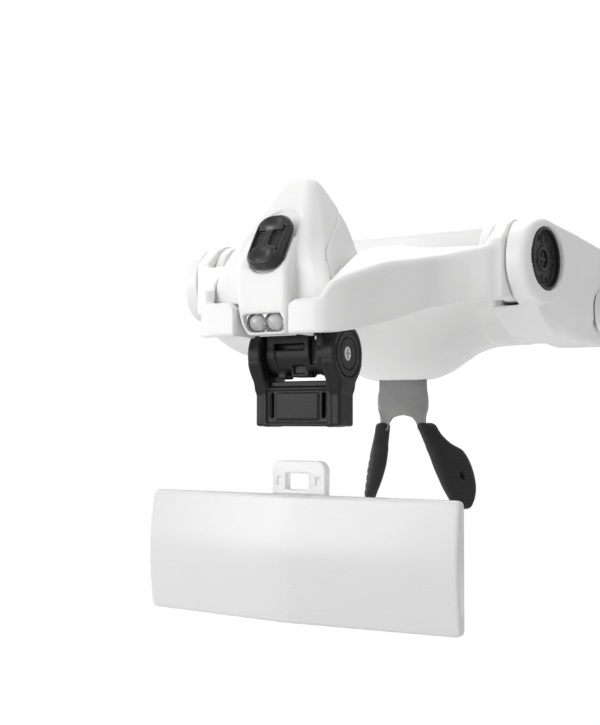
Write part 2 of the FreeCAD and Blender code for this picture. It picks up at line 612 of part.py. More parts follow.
def lamp_housing():
    nose = loft([[(-front, y, z), (front, y, z), (rear, LAMP_NOSE_REAR, z),
                  (-rear, LAMP_NOSE_REAR, z)] for z, front, y, rear in LAMP_NOSE])
    body = lamp_solid(0.0).fuse(nose).removeSplitter()
    cavity = lamp_solid(LAMP_WALL).fuse(box(-6.0, -53.6, -20.4, 6.0, -46.0, -3.0))
    # the lower slice lies within the cavity and divides its faces at the foot of the bosses
    lower_slice = box(-30, -80, -14, 30, 0, -10.8).common(lamp_solid(LAMP_WALL))
    boss = box(8.9, -60, -10.8, 13.7, -44.0, -5.5)
    cavity = cavity.fuse(lower_slice).cut(boss.fuse(mirror(boss)))
    ahead_of_seam = prism([(-80, -40), (-16, -40), (-16, -12.95), (-50.3, -12.95)]
                          + HOUSING_SEAM + [(-20, 13.9), (-20, 60), (-80, 60)], "x", -40, 40)
    housing = body.cut(cavity).common(ahead_of_seam)
    housing = housing.cut(box(-6.1, -58, -21.9, 6.1, -51.0, -15.4))  # room for the LED cup
    # knob recess, stem slot and switch body room
    housing = housing.cut(slope_stadium(5.7, -8.8, 11.9, -0.4, 6))
    housing = housing.cut(slope_stadium(2.6, -5.0, 8.5, -6, 6))
    housing = housing.cut(slope_block(3.75, -7.2, 9.2, -7.0, -3.1))
    for x in LAMP_SCREW_XS:
        housing = housing.cut(rod_z(-14, -8, x, LAMP_SCREW_Y, 0.85))
    return housing


def battery_cover():
    """Rear shell of the lamp, behind the sloping seam."""
    behind_seam = prism([(-50.1, COVER_Z)] + COVER_SEAM + [(-10, 13.45), (-10, COVER_Z)],
                        "x", -30, 30)
    return lamp_solid(0.0).common(behind_seam).cut(lamp_solid(LAMP_WALL))


def lamp_base():
    base = lamp_solid(0.0).common(box(-30, -50.2, -20, 30, -21.0, BASE_TOP))
    base = base.cut(box(-9.0, -52, -14, 9.0, -46.9, -10))
    # rear tongue and pivot barrel
    base = base.fuse(box(-9.8, -24.5, -12.9, 9.8, -19.5, BASE_TOP))
    base = base.fuse(rod_x(-9.8, 9.8, LAMP_TILT_Y, LAMP_TILT_Z, 1.9))
    base = base.cut(rod_x(-30, 30, LAMP_TILT_Y, LAMP_TILT_Z, 1.06))
    for x in LAMP_SCREW_XS:
        base = base.cut(rod_z(-16, -9, x, LAMP_SCREW_Y, 1.05))
    return base.removeSplitter()


def lamp_pivot_pin():
    return rod_x(-12.4, 12.4, LAMP_TILT_Y, LAMP_TILT_Z, 1.0)


def lamp_screws():
    screws = []
    y = LAMP_SCREW_Y
    for x in LAMP_SCREW_XS:
        screw = headed(rod_z(-12.95, -8.6, x, y, 0.8), rod_z(-14.0, -12.95, x, y, 1.7))
        screws.append(screw.cut(box(x - 1.2, y - 0.2, -14.2, x + 1.2, y + 0.2, -13.5)))
    return Part.makeCompound(screws)


def battery_cells():
    """Two coin cells stacked flat above the base."""
    return Part.makeCompound([rod_z(z, z + CELL_T, 0, CELL_Y, CELL_R) for z in (-10.9, -7.7)])


def battery_contact():
    strip = box(-3.0, -43.0, -4.5, 3.0, -29.0, -4.15)
    return strip.fuse(box(-3.0, -43.0, -4.5, 3.0, -42.6, -2.6)).removeSplitter()


def led_cup():
    cup = box(-6.0, -54.6, -21.8, 6.0, -51.1, -15.5)
    for x in (-LED_X, LED_X):
        cup = cup.cut(rod((x, LED_Y, LED_Z), LED_AXIS, 2.62, 12))
        cup = cup.cut(Part.makeCone(2.62, 3.2, 3.0, Vector(x, -52.6, -18.16), LED_AXIS))
    return cup.removeSplitter()


def led_board():
    board = box(-5.6, -50.9, -20.0, 5.6, -49.9, -8.6)
    for x in (-LED_X, LED_X):
        board = board.cut(box(x - 1.6, -52, -18.6, x + 1.6, -49, -16.0))
    return board


def led(x):
    """Round-nosed LED, trimmed flat in front of the board."""
    start = Vector(x, LED_Y, LED_Z) + LED_AXIS * 0.9
    body = Part.makeCylinder(LED_R, 3.0, start, LED_AXIS)
    body = body.fuse(Part.makeSphere(LED_R, start + LED_AXIS * 3.0)).removeSplitter()
    return body.cut(box(-8, -50.95, -30, 8, -45, 0))


def switch_knob():
    knob = slope_stadium(5.5, -8.7, 8.7, -0.35, KNOB_TOP)
    knob = fillet(knob, 0.7, lambda e: abs(
        middle(e).sub(SLOPE_ORIGIN).dot(SLOPE_NORMAL) - KNOB_TOP) < 0.05)
    return knob.fuse(slope_stadium(2.0, -3.5, 3.5, -3.0, 0.5)).removeSplitter()


def switch_body():
    return slope_block(3.6, -7.0, 9.0, -6.8, -3.2)


# ---------------------------------------------------------------- temples
# Link between joint plate and knuckle (x, y)
JOINT_LINK = [(68.7, 54.15), (70.6, 54.15), (70.4, 58.0), (67.4, 60.9), (64.6, 57.0),
              (67.2, 54.6)]
# Arm root (x, y)
ARM_ROOT = [(65.2, 58.0), (70.2, 58.0), (69.5, 63.5), (66.1, 63.5)]
# Ear tip stations: y, centre z, tilt in degrees, half height, half width
TIP_STATIONS = [(118.1, -12.5, 0, 3.7, 2.3), (126, -12.8, 6, 3.7, 2.4),
                (133.5, -14.1, 14, 3.6, 2.4), (140, -16.2, 24, 3.6, 2.4),
                (145.5, -19.0, 31, 3.6, 2.5), (150, -21.6, 36, 3.4, 2.4),
                (151.6, -22.8, 40, 2.5, 1.9)]


def temple_joint():
    joint = wing_band(JOINT_ROUND_Y, 55.2, TEMPLE_Z0, TEMPLE_Z1, -1.2, 0.9)
    x0 = wing_x(JOINT_ROUND_Y) - 1.2
    front_end = rod_x(x0, x0 + 2.1, JOINT_ROUND_Y, JOINT_Z, JOINT_R)
    joint = joint.fuse(front_end.cut(box(50, JOINT_ROUND_Y, -30, 80, 60, 10)))
    joint = joint.fuse([rod_z(TEMPLE_Z0, TEMPLE_Z1, TEMPLE_X, TEMPLE_Y, 3.0),
                        prism(JOINT_LINK, "z", TEMPLE_Z0, TEMPLE_Z1)])
    # gap for the arm's tongue, then the pin bore
    joint = joint.cut(box(60, 54.35, TEMPLE_Z0 + 3.2, 75, 70, TEMPLE_Z1 - 3.2)).removeSplitter()
    joint = joint.cut(rod_z(-30, 5, TEMPLE_X, TEMPLE_Y, 1.05))
    for y in JOINT_SCREW_YS:
        joint = joint.cut(rod_x(60, 75, y, JOINT_Z, 1.05))
        joint = joint.cut(rod_x(wing_x(y), 75, y, JOINT_Z, 2.0))
    return joint


def temple_joint_screws():
    screws = []
    for y in JOINT_SCREW_YS:
        x = wing_x(y)
        screw = headed(rod_x(x - 5.0, x + 0.05, y, JOINT_Z, 1.0),
                       rod_x(x + 0.02, x + 0.8, y, JOINT_Z, 1.9))
        screws.append(cut_cross(screw, x + 0.4, x + 2, y, JOINT_Z, 1.2, 0.25))
    return Part.makeCompound(screws)


def temple_pin():
    return rod_z(TEMPLE_Z0 - 0.3, TEMPLE_Z1 + 0.3, TEMPLE_X, TEMPLE_Y, 1.0)


def arm_x(y):
    """Centre line of the arm in plan."""
    return 67.9 + 0.085 * (y - 62) - 0.00055 * (y - 62) ** 2


def arm_section(y, x, z0, z1, half):
    """Upright rectangle with cut corners."""
    return [(x - half, y, z0 + 0.8), (x - half + 0.6, y, z0), (x + half - 0.6, y, z0),
            (x + half, y, z0 + 0.8), (x + half, y, z1 - 0.8), (x + half - 0.6, y, z1),
            (x - half + 0.6, y, z1), (x - half, y, z1 - 0.8)]


def arm_core(gap, end_y):
    """Tapered core from arm to ear tip, grown by gap on its sides."""
    sections = []
    for y, half, z0, z1 in ((117, 0.8, -14.5, -10.5), (end_y, 0.7, -15.0, -11.5)):
        x0, x1 = arm_x(y) - half - gap, arm_x(y) + half + gap
        z0, z1 = z0 - gap, z1 + gap
        sections.append([(x0, y, z0), (x1, y, z0), (x1, y, z1), (x0, y, z1)])
    return loft(sections)


def temple_arm():
    arm = loft([arm_section(61.6, 67.8, -18.9, -6.1, 1.7),
                arm_section(75, arm_x(75), -18.0, -7.0, 1.6),
                arm_section(95, arm_x(95), -16.8, -8.2, 1.5),
                arm_section(118, arm_x(118), -15.8, -9.2, 1.4)])
    z0, z1 = TEMPLE_Z0 + 3.35, TEMPLE_Z1 - 3.35
    tongue = rod_z(z0, z1, TEMPLE_X, TEMPLE_Y, 2.9).fuse(prism(ARM_ROOT, "z", z0, z1))
    arm = arm.fuse(tongue)
    arm = arm.fuse(arm_core(0, 130)).removeSplitter()
    return arm.cut(rod_z(-30, 5, TEMPLE_X, TEMPLE_Y, 1.03))


def tip_section(y, z, tilt, half_height, half_width):
    """Octagon tilted about X; at 0 degrees it faces +Y."""
    x, angle = arm_x(y), math.radians(tilt)
    dy, dz = half_height * math.sin(angle), half_height * math.cos(angle)
    corners = ((-1, -0.55), (-0.6, -1), (0.6, -1), (1, -0.55),
               (1, 0.55), (0.6, 1), (-0.6, 1), (-1, 0.55))
    return [(x + u * half_width, y + v * dy, z + v * dz) for u, v in corners]


def temple_tip():
    return loft([tip_section(*row) for row in TIP_STATIONS]).cut(arm_core(0.1, 130.3))


# ---------------------------------------------------------------- write the pieces
for part in (brow_frame, brow_liner, forehead_pad, nose_bracket, nose_bracket_screws,
             visor_shell, lens_bracket, bracket_screws, lens_holder, holder_pivot_screw,
             holder_pivot_nut, holder_washers, lens, lamp_housing, battery_cover, lamp_base,
             lamp_pivot_pin, lamp_screws, battery_cells, battery_contact, led_cup, led_board,
             switch_knob, switch_body):
    save(part.__name__, part())

save("led_left", led(LED_X))
save("led_right", led(-LED_X))

# built on the left and mirrored to the right
for part in (nose_pad, friction_washer, pivot_screw, hinge_cap, temple_joint,
             temple_joint_screws, temple_pin, temple_arm, temple_tip):
    left_part = part()
    save(part.__name__ + "_left", left_part)
    save(part.__name__ + "_right", mirror(left_part))
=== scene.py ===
"""Head-worn magnifier: brow frame, visor with a lamp, flip-up lens, nose pads and temples.

Shapes are worked out in millimetres and stored in metres. The wearer faces -Y, +Z is up and
+X is the wearer's left. The visor hinges turn about the line through x at y = z = 0.
"""

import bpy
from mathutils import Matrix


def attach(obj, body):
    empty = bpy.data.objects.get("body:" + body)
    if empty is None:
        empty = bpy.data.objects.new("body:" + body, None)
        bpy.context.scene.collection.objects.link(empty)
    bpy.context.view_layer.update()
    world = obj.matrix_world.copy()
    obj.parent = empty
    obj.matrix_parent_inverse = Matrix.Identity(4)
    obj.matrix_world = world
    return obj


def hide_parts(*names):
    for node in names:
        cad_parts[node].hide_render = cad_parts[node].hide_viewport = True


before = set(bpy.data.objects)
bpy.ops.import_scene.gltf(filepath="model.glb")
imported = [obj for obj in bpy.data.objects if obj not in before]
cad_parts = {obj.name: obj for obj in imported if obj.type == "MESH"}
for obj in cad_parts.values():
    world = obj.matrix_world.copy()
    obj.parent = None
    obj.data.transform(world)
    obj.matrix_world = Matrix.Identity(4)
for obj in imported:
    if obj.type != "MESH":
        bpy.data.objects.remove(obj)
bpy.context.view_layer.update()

import math
from functools import reduce
from itertools import product

import bpy
import numpy as np
from mathutils import Quaternion, Vector
from numpy import hypot, maximum, minimum, sqrt

MM = 0.001


# ================================================================ solids as distance fields
# A field is negative inside its solid. Fields take grid coordinates that broadcast.
def meet(first, second, radius):
    """Intersection with a circular outer edge."""
    return minimum(-radius, maximum(first, second)) + sqrt(
        maximum(first + radius, 0) ** 2 + maximum(second + radius, 0) ** 2)


def join(first, second, radius):
    """Union with a circular inner fillet."""
    return maximum(radius, minimum(first, second)) - sqrt(
        maximum(radius - first, 0) ** 2 + maximum(radius - second, 0) ** 2)


def cut(solid, tool, radius=0.0):
    return maximum(solid, -tool) if radius <= 0 else meet(solid, -tool, radius)


def common(*fields):
    """Sharp intersection."""
    return reduce(maximum, fields)


def slab(at, low, high):
    return abs(at - (low + high) / 2) - (high - low) / 2


def round_rect(side, end, radius):
    """Rectangle with round corners, from distances to its sides less the corner radius."""
    return hypot(maximum(side, 0), maximum(end, 0)) + minimum(maximum(side, end), 0) - radius


def box(at, low, high, radius):
    """Box with round edges between two corners; at is (x, y, z)."""
    gaps = [abs(c - (a + b) / 2) - ((b - a) / 2 - radius) for c, a, b in zip(at, low, high)]
    outside = sqrt(sum(maximum(gap, 0) ** 2 for gap in gaps))
    return outside + minimum(common(*gaps), 0) - radius


def chamfer(face, floor, back, rise):
    """Plane that leaves the floor `back` behind the face and meets the face at `rise`."""
    return (rise * face + back * floor + rise * back) / math.hypot(rise, back)


def curve(xs, ys, at):
    """Monotone cubic through (xs, ys), flat beyond the ends."""
    xs, ys = np.asarray(xs, float), np.asarray(ys, float)
    step, slope = np.diff(xs), np.diff(ys) / np.diff(xs)
    tangent = np.zeros(len(xs))
    for i in range(1, len(xs) - 1):
        if slope[i - 1] * slope[i] > 0:
            before, after = 2 * step[i] + step[i - 1], step[i] + 2 * step[i - 1]
            tangent[i] = (before + after) / (before / slope[i - 1] + after / slope[i])
    tangent[0], tangent[-1] = slope[0], slope[-1]
    at = np.clip(at, xs[0], xs[-1])
    i = np.clip(np.searchsorted(xs, at) - 1, 0, len(xs) - 2)
    t = (at - xs[i]) / step[i]
    return ((2 * t ** 3 - 3 * t ** 2 + 1) * ys[i]
            + (t ** 3 - 2 * t ** 2 + t) * step[i] * tangent[i]
            + (-2 * t ** 3 + 3 * t ** 2) * ys[i + 1]
            + (t ** 3 - t ** 2) * step[i] * tangent[i + 1])


def curves(table, at):
    """Every further column of a table, as curves over its first column."""
    stations, *columns = zip(*table)
    return [curve(stations, column, at) for column in columns]


def above(table, along, height, probe=0.05):
    """Distance over the curve through (along, height) pairs, corrected for its slope."""
    middle, ahead, behind = (curves(table, along + d)[0] for d in (0, probe, -probe))
    slope = (ahead - behind) / (2 * probe)
    return (height - middle) * (1.0 / sqrt(1.0 + slope * slope))


def spline(rows, steps):
    """Catmull-Rom curve through rows of numbers."""
    rows = [np.array(row, float) for row in rows]
    rows = [2 * rows[0] - rows[1]] + rows + [2 * rows[-1] - rows[-2]]
    out = []
    for a, b, c, d in zip(rows, rows[1:], rows[2:], rows[3:]):
        for k in range(steps):
            t = k / steps
            out.append(0.5 * (2 * b + (c - a) * t + (2 * a - 5 * b + 4 * c - d) * t * t
                              + (3 * b - a - 3 * c + d) * t ** 3))
    out.append(rows[-2])
    return out


def round_corners(points, radius, steps=5):
    """Corners eased by curves of tangent length up to radius: one number, or one per corner."""
    out = []
    for i, point in enumerate(points):
        corner = np.array(point, float)
        before = np.array(points[i - 1], float) - corner
        after = np.array(points[(i + 1) % len(points)], float) - corner
        length_before, length_after = np.linalg.norm(before), np.linalg.norm(after)
        wanted = radius[i] if isinstance(radius, list) else radius
        reach = min(wanted, 0.48 * length_before, 0.48 * length_after)
        if reach < 0.02:
            out.append(tuple(corner))
            continue
        start = corner + before / length_before * reach
        end = corner + after / length_after * reach
        for k in range(steps + 1):
            t = k / steps
            out.append(tuple((1 - t) ** 2 * start + 2 * t * (1 - t) * corner + t * t * end))
    return out


def polygon(across, up, points, radius=0):
    """Distance to a closed polygon with eased corners, in any two grid coordinates."""
    points = np.asarray(round_corners(points, radius), float)
    shape = np.broadcast(across, up).shape
    squared, inside = np.full(shape, 1e9), np.zeros(shape, bool)
    for i, (x0, y0) in enumerate(points):
        x1, y1 = points[i - 1]
        edge_x, edge_y = x1 - x0, y1 - y0
        length2 = edge_x * edge_x + edge_y * edge_y
        if length2 < 1e-12:
            continue
        from_x, from_y = across - x0, up - y0
        t = np.clip((from_x * edge_x + from_y * edge_y) / length2, 0, 1)
        squared = minimum(squared, (from_x - edge_x * t) ** 2 + (from_y - edge_y * t) ** 2)
        over, under, beside = up >= y0, up < y1, edge_x * from_y > edge_y * from_x
        inside ^= (over & under & beside) | (~over & ~under & ~beside)
    return np.where(inside, -1.0, 1.0) * sqrt(squared)


# ================================================================ fields to meshes
class Grid:
    """Cubic sampling grid with broadcastable coordinates x, y, z."""

    def __init__(self, low, high, step):
        self.low, self.step = np.array(low, float), float(step)
        self.shape = tuple(int(math.ceil((b - a) / step)) + 1 for a, b in zip(low, high))
        x, y, z = (a + step * np.arange(n) for a, n in zip(low, self.shape))
        self.at = x[:, None, None], y[None, :, None], z[None, None, :]

    def mesh(self, field):
        return surface(np.broadcast_to(field, self.shape), self.low, self.step)


def symmetric_mesh(low, high, step, field):
    """Samples field(x, y, z) for x >= 0 only and mirrors it."""
    grid = Grid(low, high, step)
    half = np.broadcast_to(field(*grid.at), grid.shape)
    start = np.array([-(grid.shape[0] - 1) * step, low[1], low[2]])
    return surface(np.concatenate([half[:0:-1], half], 0), start, step)


def surface(field, low, step):
    """Dual mesh of field = 0: vertices and quads."""
    field = field.astype(np.float64)
    field[abs(field) < 1e-7] = 1e-7
    # the outermost samples stay outside, so every solid closes
    for axis in range(3):
        layer = [slice(None)] * 3
        for end in (0, -1):
            layer[axis] = end
            field[tuple(layer)] = maximum(field[tuple(layer)], 0.05)
    solid_at = field < 0
    size = [n - 1 for n in field.shape]
    count = np.zeros(size, np.int8)
    for offset in product((0, 1), repeat=3):
        count += solid_at[tuple(slice(o, n + o) for o, n in zip(offset, size))]
    mixed = (count > 0) & (count < 8)
    cells = np.array(np.nonzero(mixed))
    total = cells.shape[1]
    number = np.full(mixed.shape, -1, np.int64)
    number[mixed] = np.arange(total)
    corners = {offset: field[tuple(cells + np.array(offset)[:, None])]
               for offset in product((0, 1), repeat=3)}

    # start from the mean of the edge crossings
    place, crossings = np.zeros((total, 3)), np.zeros(total)
    for axis in range(3):
        for start in corners:
            if start[axis]:
                continue
            end = list(start)
            end[axis] = 1
            near, far = corners[start], corners[tuple(end)]
            crossed = (near < 0) != (far < 0)
            point = np.tile(np.array(start, float), (total, 1))
            point[:, axis] = np.where(crossed, near / np.where(crossed, near - far, 1), 0)
            place += point * crossed[:, None]
            crossings += crossed
    place /= crossings[:, None]

    # slide each vertex onto the surface inside its own cell
    for _ in range(3):
        value, slope = np.zeros(total), np.zeros((total, 3))
        for offset, sample in corners.items():
            weight = np.where(offset, place, 1 - place)
            sign = 2 * np.array(offset) - 1
            value += sample * weight.prod(1)
            slope += sample[:, None] * sign * weight[:, (1, 0, 0)] * weight[:, (2, 2, 1)]
        ratio = np.clip(value / maximum((slope ** 2).sum(1), 1e-9), -0.5, 0.5)
        place = np.clip(place - 0.9 * ratio[:, None] * slope, 0.02, 0.98)

    # one quad round every grid edge that crosses the surface
    quads = []
    for axis in range(3):
        side, other = [a for a in range(3) if a != axis]
        first, second = [slice(1, -1)] * 3, [slice(1, -1)] * 3
        first[axis], second[axis] = slice(0, -1), slice(1, None)
        first_in = solid_at[tuple(first)]
        edges = np.nonzero(first_in != solid_at[tuple(second)])
        quad = []
        for i, j in ((0, 0), (1, 0), (1, 1), (0, 1)):
            cell = list(edges)
            cell[side] = edges[side] + i
            cell[other] = edges[other] + j
            quad.append(number[tuple(cell)])
        quad = np.stack(quad, 1)
        backwards = first_in[edges] == (axis == 1)
        quad[backwards] = quad[backwards][:, ::-1]
        quads.append(quad)
    return low + step * (cells.T + place), np.concatenate(quads)


def set_points(mesh, points):
    mesh.vertices.foreach_set("co", points.astype(np.float32).ravel())


def make(mesh, name, material, body, replaces=None, mirror=False):
    """Object from (vertices in mm, faces), riding on a CAD body; mirror swaps left and right."""
    verts, faces = mesh
    verts = np.asarray(verts, float)
    is_array = isinstance(faces, np.ndarray)
    if mirror:
        verts = verts * np.array([-1, 1, 1])
        faces = faces[:, ::-1] if is_array else [face[::-1] for face in faces]
    verts = verts * MM
    data = bpy.data.meshes.new(name)
    if is_array:
        data.vertices.add(len(verts))
        set_points(data, verts)
        count, sides = faces.shape
        data.loops.add(count * sides)
        data.loops.foreach_set("vertex_index", faces.astype(np.int32).ravel())
        data.polygons.add(count)
        starts = np.arange(0, count * sides, sides, dtype=np.int32)
        data.polygons.foreach_set("loop_start", starts)
        data.update(calc_edges=True)
    else:
        data.from_pydata(verts.tolist(), [], faces)
        data.update()
    data.validate()
    data.polygons.foreach_set("use_smooth", [True] * len(data.polygons))
    data.materials.append(material)
    thing = bpy.data.objects.new(name, data)
    bpy.context.scene.collection.objects.link(thing)
    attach(thing, body)
    if replaces:
        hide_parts(replaces)
    return thing


def subdivide(thing):
    modifier = thing.modifiers.new("sub", "SUBSURF")
    modifier.levels = modifier.render_levels = 1


# ================================================================ materials
class Nodes:
    """Short calls for one node tree; an input takes a value or another node's output."""

    def __init__(self, owner):
        owner.use_nodes = True
        self.tree = owner.node_tree

    def feed(self, node, inputs):
        for key, value in inputs.items():
            if isinstance(value, bpy.types.NodeSocket):
                self.tree.links.new(value, node.inputs[key])
            else:
                node.inputs[key].default_value = value

    def add(self, kind, inputs=None, **settings):
        node = self.tree.nodes.new("ShaderNode" + kind)
        for key, value in settings.items():
            setattr(node, key, value)
        self.feed(node, inputs or {})
        return node

    def coords(self, kind="Object"):
        return self.add("TexCoord").outputs[kind]

    def mapped(self, coords, **inputs):
        inputs["Vector"] = coords
        return self.add("Mapping", inputs).outputs["Vector"]

    def ramp(self, source, *stops):
        """Grey ramp through (position, value) stops."""
        node = self.add("ValToRGB", {"Fac": source})
        elements = node.color_ramp.elements
        for element, (position, value) in ((elements[0], stops[0]), (elements[1], stops[-1])):
            element.position, element.color = position, (value, value, value, 1)
        for position, value in stops[1:-1]:
            elements.new(position).color = (value, value, value, 1)
        return node.outputs["Color"]

    def noise(self, coords, scale, detail=2, rough=0.5, distort=0.0):
        return self.add("TexNoise", {"Scale": scale, "Detail": detail, "Roughness": rough,
                                     "Distortion": distort, "Vector": coords}).outputs["Fac"]

    def cells(self, coords, scale):
        return self.add("TexVoronoi", {"Scale": scale, "Vector": coords}).outputs["Distance"]

    def mix(self, factor, first, second):
        first, second = ((*c, 1) if isinstance(c, tuple) else c for c in (first, second))
        return self.add("Mix", {0: factor, 6: first, 7: second}, data_type="RGBA").outputs[2]

    def plus(self, first, second):
        return self.add("Math", {0: first, 1: second}, operation="ADD").outputs[0]

    def times(self, first, second):
        return self.add("Math", {0: first, 1: second}, operation="MULTIPLY").outputs[0]

    def bump(self, height, strength, distance, normal=None):
        inputs = {"Strength": strength, "Distance": distance, "Height": height}
        if normal is not None:
            inputs["Normal"] = normal
        return self.add("Bump", inputs).outputs["Normal"]


def new_material(name):
    material = bpy.data.materials.new(name)
    nodes = Nodes(material)
    return material, nodes, nodes.tree.nodes["Principled BSDF"]


def solid(name, base, mottled, edge, rough, grain, relief, edge_wear_and_highlight=0.6, spec=0.5, metal=0.0,
          coat=0.0, sheen=0.0, cells=None):
    """Moulded or finished surface: fine grain, broad mottle, lighter edges (partly handling wear,
    partly a painted highlight), uneven gloss.

    grain and cells are texture scales and relief the grain's bump strength. The edge colour,
    lighter than the base, is partly wear and partly a painted highlight on convex edges; its
    weight says how far it shows.
    the edge colour shows.
    """
    material, nodes, shader = new_material(name)
    coords = nodes.coords()
    broad = nodes.noise(coords, scale=60, detail=4, rough=0.6, distort=0.3)
    fine = nodes.noise(coords, scale=grain)
    smear = nodes.noise(coords, scale=240, detail=5, rough=0.65, distort=1.2)
    colour = nodes.mix(nodes.ramp(broad, (0.3, 0.0), (0.7, 1.0)), base, mottled)
    # convex edges turn to the lighter edge colour: partly rubbed wear, partly a painted highlight
    pointed = nodes.add("NewGeometry").outputs["Pointiness"]
    edges = nodes.ramp(pointed, (0.505, 0.0), (0.56, 1.0))
    edges = nodes.times(edges, nodes.ramp(smear, (0.35, 0.15), (0.7, 1.0)))
    colour = nodes.mix(nodes.times(edges, edge_wear_and_highlight), colour, edge)
    gloss = nodes.plus(nodes.times(smear, 0.16), rough - 0.08)
    gloss = nodes.plus(gloss, nodes.times(fine, 0.06))
    height = fine
    if cells:
        height = nodes.plus(fine, nodes.times(nodes.cells(coords, cells), 0.8))
    normal = nodes.bump(height, strength=relief, distance=0.00008)
    normal = nodes.bump(broad, strength=0.10, distance=0.0006, normal=normal)
    nodes.feed(shader, {"Base Color": colour, "Roughness": gloss, "Normal": normal,
                        "Metallic": metal, "Specular IOR Level": spec})
    if coat:
        nodes.feed(shader, {"Coat Weight": coat, "Coat Roughness": 0.25})
    if sheen:
        nodes.feed(shader, {"Sheen Weight": sheen, "Sheen Roughness": 0.6})
    return material


def brushed(material):
    """Adds long rolling marks along Z to a sheet-metal material."""
    nodes = Nodes(material)
    normal_input = nodes.tree.nodes["Principled BSDF"].inputs["Normal"]
    marks = nodes.noise(nodes.mapped(nodes.coords(), Scale=(1.0, 1.0, 0.03)), scale=9000)
    under = normal_input.links[0].from_socket
    normal = nodes.bump(marks, strength=0.25, distance=0.00006, normal=under)
    nodes.tree.links.new(normal, normal_input)


def foam(name):
    """Open-pored grey foam."""
    material, nodes, shader = new_material(name)
    coords = nodes.coords()
    large, small = nodes.cells(coords, scale=900), nodes.cells(coords, scale=2300)
    broad = nodes.noise(coords, scale=70, detail=4, rough=0.6, distort=0.2)
    pores = nodes.ramp(large, (0.05, 0.0), (0.45, 1.0))
    colour = nodes.mix(pores, (0.42, 0.42, 0.425), (0.62, 0.62, 0.625))
    pale = nodes.times(nodes.ramp(broad, (0.35, 0.0), (0.7, 1.0)), 0.35)
    colour = nodes.mix(pale, colour, (0.72, 0.72, 0.722))
    gloss = nodes.plus(nodes.times(broad, 0.12), 0.82)
    height = nodes.plus(pores, nodes.times(small, 0.5))
    nodes.feed(shader, {
        "Base Color": colour, "Roughness": gloss,
        "Normal": nodes.bump(height, strength=0.8, distance=0.00035),
        "Sheen Weight": 0.35, "Specular IOR Level": 0.2})
    return material


def acrylic(name, colour, clear, rough, streak):
    """Clear plastic with faint scratches; clear is the transmission weight."""
    material, nodes, shader = new_material(name)
    coords = nodes.coords()
    broad = nodes.noise(coords, scale=28, detail=4, rough=0.6, distort=0.6)
    fine = nodes.noise(coords, scale=2600)
    turned = nodes.mapped(coords, Scale=(0.15, 1.0, 1.0), Rotation=(0.0, 0.5, 0.0))
    scratches = nodes.noise(turned, scale=900, detail=5, rough=0.7, distort=0.4)
    scratches = nodes.ramp(scratches, (0.66, 0.0), (0.74, 1.0))
    lighter = tuple(min(1, channel * 1.025) for channel in colour)
    shade = nodes.mix(nodes.ramp(broad, (0.3, 0.0), (0.72, 1.0)), colour, lighter)
    shade = nodes.mix(nodes.times(scratches, streak), shade, (0.92, 0.92, 0.92))
    gloss = nodes.plus(nodes.times(broad, 0.10), rough)
    gloss = nodes.plus(gloss, nodes.times(scratches, 0.12))
    normal = nodes.bump(fine, strength=0.05, distance=0.00004)
    normal = nodes.bump(broad, strength=0.12, distance=0.0008, normal=normal)
    nodes.feed(shader, {"Base Color": shade, "Roughness": gloss, "Normal": normal,
                        "Transmission Weight": clear, "IOR": 1.49, "Specular IOR Level": 0.5})
    return material


# each edge colour below is lighter than its base: partly wear, partly a painted highlight on
# convex edges
WHITE = solid("white_abs_look", (0.83, 0.83, 0.825), (0.80, 0.80, 0.795), (0.86, 0.86, 0.85),
              rough=0.36, grain=5200, relief=0.10, edge_wear_and_highlight=0.5, spec=0.42, coat=0.06)
INNER_WHITE = solid("white_abs_inner_look", (0.80, 0.80, 0.79), (0.77, 0.77, 0.765),
                    (0.85, 0.85, 0.84), rough=0.46, grain=4200, relief=0.16, edge_wear_and_highlight=0.5, spec=0.38)
BLACK = solid("black_plastic_look", (0.0075, 0.0075, 0.008), (0.014, 0.014, 0.0145),
              (0.06, 0.06, 0.062), rough=0.36, grain=5200, relief=0.30, spec=0.26, cells=2600)
KNOB_BLACK = solid("black_switch_look", (0.010, 0.010, 0.0105), (0.018, 0.018, 0.0185),
                   (0.09, 0.09, 0.093), rough=0.30, grain=6200, relief=0.22, edge_wear_and_highlight=0.7, spec=0.42)
CAP_BLACK = solid("black_cap_look", (0.012, 0.012, 0.0125), (0.020, 0.020, 0.0205),
                  (0.09, 0.09, 0.093), rough=0.32, grain=6200, relief=0.18, edge_wear_and_highlight=0.7, spec=0.36)
RUBBER = solid("black_rubber_look", (0.0085, 0.0085, 0.009), (0.015, 0.015, 0.0155),
               (0.04, 0.04, 0.042), rough=0.62, grain=3000, relief=0.45, edge_wear_and_highlight=0.5, spec=0.22,
               cells=1500, sheen=0.08)
STEEL = solid("satin_steel_look", (0.15, 0.15, 0.149), (0.19, 0.19, 0.188),
              (0.75, 0.75, 0.74), rough=0.50, grain=3800, relief=0.25, edge_wear_and_highlight=0.8, metal=0.92)
CHROME = solid("bright_steel_look", (0.72, 0.72, 0.71), (0.62, 0.62, 0.615), (0.9, 0.9, 0.9),
               rough=0.22, grain=5200, relief=0.12, metal=1.0)
JACKET = solid("cell_look", (0.60, 0.60, 0.59), (0.50, 0.50, 0.49), (0.8, 0.8, 0.79),
               rough=0.30, grain=4200, relief=0.15, metal=0.9)
BOARD = solid("board_look", (0.62, 0.63, 0.60), (0.52, 0.54, 0.50), (0.75, 0.72, 0.6),
              rough=0.45, grain=4200, relief=0.2, edge_wear_and_highlight=0.5)
REFLECTOR = solid("reflector_look", (0.62, 0.62, 0.615), (0.50, 0.50, 0.495), (0.8, 0.8, 0.8),
                  rough=0.36, grain=4200, relief=0.15, metal=0.75)
brushed(STEEL)
FOAM = foam("soft_foam_look")
ACRYLIC = acrylic("clear_acrylic_look", (0.75, 0.75, 0.75), clear=0.10, rough=0.16, streak=0.25)
